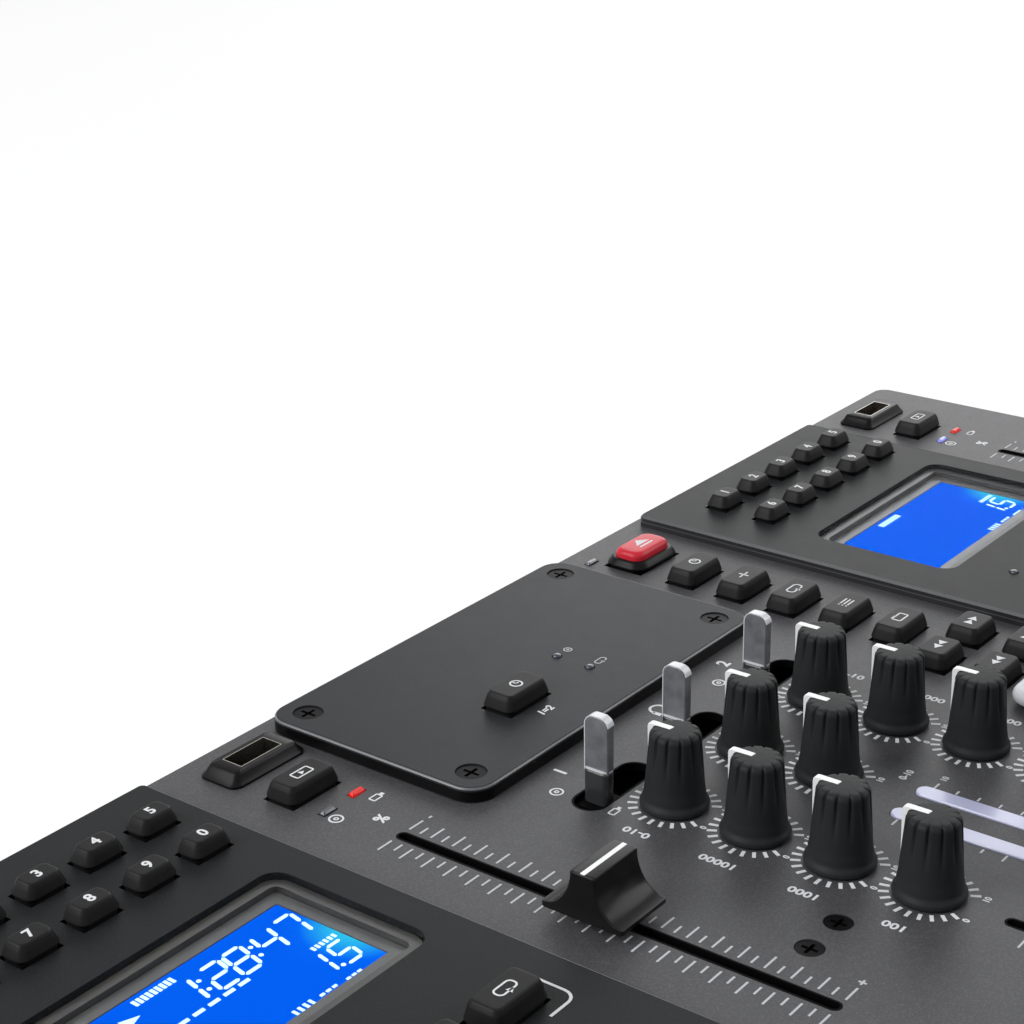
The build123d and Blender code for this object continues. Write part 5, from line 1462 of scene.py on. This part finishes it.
# ------------------------------------------------------------------ print
@dataclass
class Legends:
    """Everything printed on the top panel, the centre plate and the deck panels."""

    columns: tuple[float, float, float] = (-34.4, -0.1, 34.2)
    rows: tuple[int, int, int] = (4, 2, 4)
    row_back: float = 39.9
    row_pitch: float = 22.5
    dash_inner: float = 8.9
    dash_outer: float = 11.3
    dash_width: float = 0.9
    dial_text: float = 12.6
    label_size: float = 3.3
    tick_width: float = 0.52
    slot_gap: float = 3.2
    cross_away: float = 8.5
    cross_pitch: float = 6.5
    meter_middle: float = -0.5
    meter_away: float = 10.6
    meter_text: float = 14.5
    meter_back: float = -6.5
    meter_pitch: float = 5.6
    pitch_reach: float = 58.2
    bracket_spot: Spot = (29.8, 17.9)
    draft: MeshDraft = field(default_factory=MeshDraft)

    def build(self) -> None:
        """Print the whole top."""
        for x, rows in zip(self.columns, self.rows):
            for row in range(rows):
                self.dial(x, self.row_back - row * self.row_pitch)
        self.labels()
        self.scales()
        self.plate_signs()
        for middle in SIDES.values():
            self.deck(middle)
        self.draft.piece("panel_print", [INK_GREY, INK_WHITE], "body", "top_paint")

    def bars(self, x: np.ndarray, y: np.ndarray, width: np.ndarray, depth: float) -> None:
        """Print upright rectangles of one depth.

        Args:
            x: their middles.
            y: their middles.
            width: their widths.
            depth: their depth.
        """
        size = np.stack(np.broadcast_arrays(width, depth), -1)[..., None, :]
        middle = np.stack(np.broadcast_arrays(x, y), -1)[:, None, :]
        self.draft.prisms(UNIT_BOX * size + middle, TOP - SINK, TOP + INK)

    def dial(self, x: float, y: float) -> None:
        """Print 21 dashes round a knob, 15 degrees apart, and its end marks.

        Args:
            x: the knob's middle.
            y: the knob's middle.
        """
        angle = np.radians(np.arange(21) * 15.0 - 60.0)
        out = np.stack([np.cos(angle), np.sin(angle)], -1)[:, None]
        side = np.stack([-np.sin(angle), np.cos(angle)], -1)[:, None]
        along = np.array([self.dash_inner, self.dash_outer, self.dash_outer, self.dash_inner])[None, :, None]
        across = np.array([-0.5, -0.5, 0.5, 0.5])[None, :, None] * self.dash_width
        self.draft.prisms(out * along + side * across + [x, y], TOP - SINK, TOP + INK, 1)
        for turn, text in ((-66.0, "10"), (-114.0, "0")):
            a = math.radians(turn)
            place = x + self.dial_text * math.cos(a), y + self.dial_text * math.sin(a)
            self.draft.figures(text, 2.3, *place, TOP, tag=1)

    def labels(self) -> None:
        """Print the mixer's figures and pictograms."""
        figures, icon = self.draft.figures, self.draft.icon
        for x, turn in ((-50.5, 90.0), (51.5, -90.0)):
            for row, text in enumerate(("0-10", "10000", "1000", "100")):
                y = self.row_back - row * self.row_pitch
                figures(text, self.label_size, x, y, TOP, turn, tag=1, stretch=1.2)
        icon(Sign.PHONES, 5.0, 4.7, 70.8, TOP, tag=1)
        figures("1", 5.2, -37.3, 71.5, TOP, tag=1)
        figures("2", 5.2, 37.6, 71.5, TOP, tag=1)
        for x in (-46.0, 27.0):
            icon(Sign.DISC, 3.2, x, 66.4, TOP, tag=1)
            icon(Sign.STICK, 2.8, x + 0.3, 49.6, TOP, tag=1)
        icon(Sign.TRIANGLE, 1.6, 0.6, 64.5, TOP, 90)
        icon(Sign.TRIANGLE, 1.6, 6.0, 50.5, TOP)
        figures("0-10", 2.8, 11.0, 2.0, TOP, tag=1)

    def plate_signs(self) -> None:
        """Print the signs beside the plate's lamps and below its key."""
        for (x, y), sign in zip(PLATE_LAMPS, (Sign.DISC, Sign.LOOP)):
            self.draft.icon(sign, 2.2, x + 5.0, y, PLATE_TOP)
        self.draft.figures("1=2", 3.4, SYNC_SPOT[0], SYNC_SPOT[1] - 9.4, PLATE_TOP, slant=0.2, tag=1)

    def scales(self) -> None:
        """Print the scales of the channel faders, the crossfader and the meters."""
        for x in CHANNEL_COLUMNS:
            self.scale(x, CHANNEL_Y, 27.0, 17)
        x = CROSS_SPOT[0] + np.arange(-4, 5) * self.cross_pitch
        for way in (-1, 1):
            self.bars(x, CROSS_SPOT[1] + way * self.cross_away, self.tick_width, 3.0)
        level = np.arange(11)
        place, width = self.meter_back - level * self.meter_pitch, np.where(level % 5 == 0, 3.0, 1.8)
        for way in (-1, 1):
            self.bars(self.meter_middle + way * self.meter_away, place, width, 0.5)
        for row, text in zip((0, 5, 10), ("10", "0", "20")):
            self.draft.figures(text, 2.4, self.meter_text, place[row], TOP)

    def scale(self, x: float, y: float, travel: float, count: int) -> None:
        """Print long and short ticks to both sides of a fader's slot.

        Args:
            x: middle of the slot.
            y: middle of the slot.
            travel: how far the fader goes each way.
            count: number of ticks.
        """
        place = y + np.linspace(-travel, travel, count)
        long = np.where(np.arange(count) % 2 == 0, 5.0, 3.0)
        for side in (-1, 1):
            self.bars(x + side * (self.slot_gap + long / 2), place, long, self.tick_width)

    def deck(self, middle: float) -> None:
        """Print one deck's scale, signs and key bracket.

        Args:
            middle: the deck's middle.
        """
        figures, icon = self.draft.figures, self.draft.icon
        x, y = middle + PITCH_SPOT[0], PITCH_SPOT[1]
        self.scale(x, y, self.pitch_reach, 37)
        icon(Sign.DISC, 3.4, middle + 71.6, 101.1, TOP, tag=1)
        icon(Sign.STICK, 3.0, middle + 84.9, 100.2, TOP, tag=1)
        figures("%", 4.8, middle + 78.0, 92.3, TOP, tag=1)
        for sign, way in (("-", 1), ("+", -1)):
            figures(sign, 3.6, x + 10.6, y + way * self.pitch_reach, TOP)
        corner = rounded_rings(26.0, 16.5, 3.0, 0, 5)[0, :, :2]
        bracket = np.concatenate([[[4.0, 8.25]], corner[5::-1], corner[:17:-1], [[4.0, -8.25]]])
        bracket += [middle + self.bracket_spot[0], self.bracket_spot[1]]
        self.draft.ribbon(bracket, 0.7, DECK_TOP - SINK, DECK_TOP + INK, 1)


# ------------------------------------------------------------------ lamps, sockets
@dataclass
class Lamps:
    """Lamp lenses of the decks and the plate, and the two level meters."""

    meter_size: Size = (5.0, 62.0, 2.5)
    meter_spread: float = 12.7
    meter_spot: Spot = (-0.5, -34.4)
    lens_size: Size = (4.6, 2.0, 0.5)
    lens: float = 0.5
    deck_lamps: tuple[Spot, ...] = ((84.0, 105.5), (73.0, 105.0), (-85.3, 141.3))
    deck_dot: Spot = (-25.9, 31.6)
    draft: MeshDraft = field(default_factory=MeshDraft)

    def build(self) -> None:
        """Make the lenses: crowned bars, crowned dots and long rounded windows."""
        bottom = node_box("lamps")[0][2]
        bar = eased([(0.0, bottom), (0.0, TOP + 0.2), (0.5, TOP + self.lens + 0.25)], 0.3)
        for middle, tags in zip(SIDES.values(), ((1, 3, 3), (1, 2, 3))):
            for (x, y), tag in zip(self.deck_lamps, tags):
                self.draft.block((middle + x, y), self.lens_size, bar, tag, shrink=0.5)
            self.dot((middle + self.deck_dot[0], self.deck_dot[1]), DECK_TOP, bottom)
        for spot in PLATE_LAMPS:
            self.dot(spot, PLATE_TOP, bottom)
        line = eased([(0.0, bottom), (0.0, TOP + 0.2), (0.3, TOP + self.lens)], 0.2)
        x, y = self.meter_spot
        for way in (-0.5, 0.5):
            self.draft.block((x + way * self.meter_spread, y), self.meter_size, line, 0, 8)
        finishes = [METER_LENS, LAMP_RED, LAMP_BLUE, LAMP_DARK]
        self.draft.piece("lamp_lenses", finishes, "body", "lamp_clear", ("lamps",))

    def dot(self, spot: Spot, face: float, bottom: float) -> None:
        """Add a round lens with a crowned top on a face, from some bottom up."""
        line = eased([(1.3, bottom), (1.3, face + 0.2), (0.9, face + 0.6), (0.05, face + 0.7)], 0.4)
        self.draft.sheet(moved(turned(line, 24), *spot), 3)


@dataclass
class UsbSocket:
    """Flared collar with a metal-lined mouth and a tongue."""

    spot: Spot = (79.8, 136.2)
    width: float = 26.0
    depth: float = 13.0
    corner: float = 2.6
    top_width: float = 21.5
    top_depth: float = 10.0
    height: float = 3.4
    mouth_width: float = 14.6
    mouth_depth: float = 6.6
    wall: float = 1.2
    below: float = 11.0
    liner: float = 0.22
    liner_drop: float = 6.0
    tongue: Size = (11.1, 1.8, 0.2)
    tongue_shift: float = 1.3
    tongue_tip: float = 3.5

    def build(self) -> None:
        """Make both sockets as one piece: collar, liner, a black band of painted shade above the floor, and
        tongue, the right tongue with a painted red glow.
        """
        draft = MeshDraft()
        collar, bottom = self.collar(), TOP - self.below
        level = np.array([TOP - self.liner_drop, TOP + self.height + 0.03])
        outside = rounded_rings(self.mouth_width - 0.02, self.mouth_depth - 0.02, 0.3, level)
        width, depth = self.mouth_width - 2 * self.liner, self.mouth_depth - 2 * self.liner
        liner = np.concatenate([outside, rounded_rings(width, depth, 0.2, level[::-1])])
        # The floor band inside each mouth is painted shade.
        floor = [(0.03, bottom + 1.55), (0.03, bottom + 4.5), (0.4, bottom + 4.5), (0.4, bottom + 1.75)]
        # Tag 3 gives the right tongue its painted red glow; tag 2 leaves the left one black.
        for middle, lit in zip(SIDES.values(), (2, 3)):
            x, y = spot = (middle + self.spot[0], self.spot[1])
            draft.sheet(moved(collar, x, y))
            draft.sheet(moved(liner, x, y), 1, loop=True)
            draft.block(spot, (self.mouth_width, self.mouth_depth, 0.2), floor, 2, 2, loop=True, shrink=0)
            upright = [(0, bottom + 1.0), (0, TOP - self.tongue_tip)]
            draft.block((x, y + self.tongue_shift), self.tongue, upright, lit, 2)
        finishes = [COLLAR_BLACK, SOCKET_METAL, SLOT_BLACK_AND_SHADE, TONGUE_PAINTED_GLOW]
        draft.piece("usb_collars", finishes, "body", "collar_black", ("usb_sockets",))

    def collar(self) -> np.ndarray:
        """Stack the collar's rings.

        They run up the housing below the panel, from the foot inwards in a hollow
        curve, whose inset grows as s^0.8 while the height grows as s, to the flat rim,
        then down inside the mouth to its floor.

        Returns:
            Points as rings x places x 3.
        """
        s = np.linspace(0, 1, 7)
        reach, mouth = (self.width - self.top_width) / 2, (self.width - self.mouth_width) / 2
        inset = np.concatenate([[0, 0], reach * s ** 0.8, [reach + 0.5, mouth]])
        level = np.concatenate([[0, 0.5], 0.6 + (self.height - 0.9) * s, [self.height, self.height]])
        inset_y = inset * (self.depth - self.top_depth) / (self.width - self.top_width)
        inset_y[-1] = (self.depth - self.mouth_depth) / 2
        width, depth = self.width - 2 * inset, self.depth - 2 * inset_y
        shell = rounded_rings(width, depth, self.corner - inset * 0.5, level + TOP)
        down = np.array([TOP + self.height, TOP - self.below + 1.5])
        hole = rounded_rings(self.mouth_width, self.mouth_depth, 0.3, down)
        up = np.array([TOP - self.below, TOP])
        outer = rounded_rings(self.mouth_width + 2 * self.wall, self.mouth_depth + 2 * self.wall, 0.5, up)
        return np.concatenate([outer, shell, hole])


@dataclass
class SlotTrimsAndShade:
    """Black trims round the slots of the faders and levers, whose skirts paint shade down the slot walls."""

    lip: float = 0.4
    rise: float = 0.06
    inset: float = 0.15
    drop: float = 2.0
    fader_width: float = 2.8
    pitch_length: float = 117.4
    mixer_length: float = 67.0
    lever_width: float = 8.6
    lever_length: float = 27.0
    draft: MeshDraft = field(default_factory=MeshDraft)

    def build(self) -> None:
        """Make every trim as one piece."""
        for x in CHANNEL_COLUMNS:
            self.trim((x, CHANNEL_Y), self.fader_width, self.mixer_length)
        self.trim(CROSS_SPOT, self.mixer_length, self.fader_width)
        for middle in SIDES.values():
            self.trim((middle + PITCH_SPOT[0], PITCH_SPOT[1]), self.fader_width, self.pitch_length)
        for x in LEVER_COLUMNS:
            self.trim((x, LEVER_Y), self.lever_length, self.lever_width)
        self.draft.piece("slot_trims_and_shade", [SLOT_BLACK_AND_SHADE], "body", "collar_black")

    def trim(self, spot: Spot, width: float, depth: float) -> None:
        """Add one trim: a lip on the panel and a skirt of painted shade down the slot.

        Args:
            spot: middle of the slot.
            width: size of the slot along x.
            depth: size of the slot along y.
        """
        under, over, foot = TOP - 0.02, TOP + self.rise, TOP - self.drop
        self.draft.band(spot, (width, depth, min(width, depth) / 2), [
            (-0.02, foot), (-0.02, under), (self.lip, under), (self.lip, over), (-self.inset, over),
            (-self.inset, foot),
        ])


@dataclass
class PlateEdges:
    """Dark sides of the raised plates, with painted highlights along their top edges and a painted highlight
    line along the deck sides.
    """

    deck_size: Size = (105.0, 284.7, 2.0)
    deck_y: float = 4.35
    deck_bevel: float = 0.7
    plate_size: Size = (126.0, 70.0, 7.0)
    plate_spot: Spot = (-0.95, 111.8)
    plate_round: float = 0.9
    skin: float = 0.06
    line: float = 0.3

    def build(self) -> None:
        """Make the bands of the three plates as one piece."""
        bevel, skin = self.deck_bevel, self.skin
        draft = MeshDraft()
        shoulder = DECK_TOP - bevel
        chamfer = [
            (skin, shoulder), (skin - bevel, DECK_TOP + skin), (-skin - bevel, DECK_TOP - skin),
            (-skin, shoulder - skin),
        ]
        middle = (TOP + shoulder) / 2
        for x in SIDES.values():
            spot = (x, self.deck_y)
            draft.band(spot, self.deck_size, self.upright(TOP + 0.02, shoulder - 0.15, skin), 2)
            # Painted highlight lines: one along the middle of the side, one on the chamfer.
            draft.band(spot, self.deck_size, self.upright(middle, middle + self.line, 2 * skin), 3)
            draft.band(spot, self.deck_size, chamfer, 3)
        side = PLATE_TOP - self.plate_round
        draft.band(self.plate_spot, self.plate_size, self.upright(TOP + 0.3, side - 0.1, skin), 0)
        # Painted highlight along the plate's rounded top edge.
        angle = np.radians(np.linspace(25, 62, 5))
        arc = np.stack([np.cos(angle), np.sin(angle)], -1)
        arch = np.concatenate([arc * (self.plate_round + skin), arc[::-1] * (self.plate_round - skin)])
        draft.band(self.plate_spot, self.plate_size, arch + [-self.plate_round, side], 1)
        finishes = [EDGE_BLACK, EDGE_PAINTED_HIGHLIGHT, SIDE_SATIN, SIDE_PAINTED_HIGHLIGHT]
        draft.piece("plate_edges", finishes, "body", "plate_plastic")

    @staticmethod
    def upright(low: float, high: float, out: float) -> list[Spot]:
        """Give the section of a flat band that stands out from the side."""
        return [(-0.1, low), (out, low), (out, high), (-0.1, high)]


@dataclass
class SocketRings:
    """Coloured rings round the phono sockets."""

    columns: tuple[float, ...] = (60.0, 78.0, 108.0, 126.0, 156.0, 174.0)
    heights: Spot = (32.0, 50.0)
    back: float = 150.0
    reach: float = 3.0
    inner: float = 4.25
    outer: float = 6.3

    def build(self) -> None:
        """Make the rings, white in the upper row and red in the lower one.

        A ring is turned about z, then tipped so that its axis runs along y.
        """
        draft = MeshDraft()
        section = [
            (self.inner, 0.02), (self.outer, 0.02), (self.outer, self.reach - 0.5),
            (self.outer - 0.8, self.reach), (self.inner, self.reach),
        ]
        ring = turned(eased(section, 0.4), 36)
        ring = np.stack([ring[..., 0], ring[..., 2] + self.back, -ring[..., 1]], -1)
        for x in self.columns:
            for row, z in enumerate(self.heights):
                draft.sheet(ring + [x, 0, z], row, loop=True)
        draft.piece("socket_rings", [RING_RED, RING_WHITE], "body", "collar_black")


# ------------------------------------------------------------------ studio
@dataclass
class Studio:
    """White room: floor, soft lamps, and the camera."""

    camera_place: Size = (-0.4142, -0.2116, 0.3293)
    azimuth: float = 52.12
    elevation: float = 21.85
    roll: float = -0.98
    lens: float = 75.7
    floor_reach: float = 4.0
    floor_level: float = -0.0002

    def build(self) -> None:
        """Set up the room, its light and the camera."""
        self.world()
        self.floor()
        self.lamp("key_softbox", (-1.15, 0.65, 0.95), 1.1, 24.0)
        self.lamp("fill_softbox", (1.15, -0.75, 0.95), 0.9, 9.0)
        self.lamp("back_softbox", (1.7, 0.85, 0.85), 1.2, 9.0)
        self.camera()
        bpy.context.scene.view_settings.view_transform = "Standard"

    @staticmethod
    def world() -> None:
        """Make surroundings that look white and light the object softly."""
        world = bpy.data.worlds.new("white_room")
        bpy.context.scene.world = world
        sheet = NodeSheet(world)
        soft = sheet.add("Background", {"Color": (0.9, 0.92, 0.95, 1), "Strength": 0.4})
        white = sheet.add("Background", {"Color": (1, 1, 1, 1)})
        sheet.mixed(sheet.seen(), soft.outputs[0], white.outputs[0], "OutputWorld")

    def floor(self) -> None:
        """Make the pale floor, which keeps the object's shadow."""
        spread = np.linspace(-self.floor_reach, self.floor_reach, 9)
        px, py = np.meshgrid(spread, spread)
        index = np.arange(81).reshape(9, 9)
        quads = np.stack([index[:-1, :-1], index[:-1, 1:], index[1:, 1:], index[1:, :-1]], -1).reshape(-1, 4)
        points = np.stack([px, py, 0 * px + self.floor_level], -1).reshape(-1, 3)
        mesh = bpy.data.meshes.new("floor")
        mesh.from_pydata(points.tolist(), [], quads.tolist())
        floor = bpy.data.objects.new("floor", mesh)
        bpy.context.scene.collection.objects.link(floor)
        sheet = NodeSheet(bpy.data.materials.new("pale_floor"))
        matte = sheet.add("BsdfDiffuse", {"Color": (0.88, 0.88, 0.88, 1)})
        lit = sheet.add("Emission", {"Strength": 1.05})
        share = sheet.add("Math", {1: 0.8}, operation="MULTIPLY")
        sheet.join(sheet.seen(), share.inputs[0])
        sheet.mixed(share.outputs[0], matte.outputs[0], lit.outputs[0], "OutputMaterial")
        mesh.materials.append(sheet.owner)

    @staticmethod
    def lamp(name: str, place: Size, size: float, power: float) -> None:
        """Add a soft box that faces the object.

        Args:
            name: its name.
            place: where it hangs, in metres.
            size: length of its side.
            power: watts.
        """
        light = bpy.data.lights.new(name, "AREA")
        light.shape, light.size, light.energy = "SQUARE", size, power
        holder = bpy.data.objects.new(name, light)
        bpy.context.scene.collection.objects.link(holder)
        aim = Vector((0, 0, 0.05)) - Vector(place)
        holder.matrix_world = Matrix.Translation(place) @ aim.to_track_quat("-Z", "Y").to_matrix().to_4x4()

    def camera(self) -> None:
        """Place the camera.

        It looks along (sin A cos E, cos A cos E, -sin E), for azimuth A and
        elevation E, and is then rolled about that line.
        """
        a, e, r = (math.radians(value) for value in (self.azimuth, self.elevation, self.roll))
        forward = Vector((math.sin(a) * math.cos(e), math.cos(a) * math.cos(e), -math.sin(e)))
        level = Vector((math.cos(a), -math.sin(a), 0))
        above = level.cross(forward)
        right = math.cos(r) * level + math.sin(r) * above
        up = -math.sin(r) * level + math.cos(r) * above
        data = bpy.data.cameras.new("camera")
        data.lens, data.sensor_width, data.sensor_fit = self.lens, 36.0, "HORIZONTAL"
        data.clip_start = 0.01
        holder = bpy.data.objects.new("camera", data)
        bpy.context.scene.collection.objects.link(holder)
        turn = Matrix((right, up, -forward)).transposed().to_4x4()
        holder.matrix_world = Matrix.Translation(self.camera_place) @ turn
        bpy.context.scene.camera = holder


def main() -> None:
    """Build and dress every sub-assembly in order."""
    logging.basicConfig(level=logging.INFO, format="%(message)s")
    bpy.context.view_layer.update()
    dress_frame()
    knobs = [f"channel_{tag}_{name}" for tag in "ab" for name in ("level", "high", "mid", "low")]
    for name in (*knobs, "cue_mix", "master"):
        RotaryKnob(f"{name}_knob").build()
    for node in ("channel_a_fader", "channel_b_fader", "left_pitch_fader", "right_pitch_fader"):
        FaderCap(node).build()
    FaderCap("crossfader", turn=90.0).build()
    for node in ("source_lever_a", "cue_lever", "source_lever_b"):
        PaddleLever(node).build()
    sync = KeySet("sync_key", PLATE_TOP)
    sync.key(SYNC_SPOT, KEY_SIZE, 5.0, Sign.CLOCK)
    sync.finished()
    for side in SIDES:
        DeckKeys(side).build()
        Pad(f"{side}_cue_pad", Sign.CUE).build()
        Pad(f"{side}_play_pad", Sign.PLAY).build()
        JogWheel(side).build()
        DisplayPanel(side).build()
    for part in (DisplayWindows, Legends, Lamps, UsbSocket, SlotTrimsAndShade, PlateEdges, SocketRings):
        part().build()
    Studio().build()


if __name__ == "__main__":
    main()
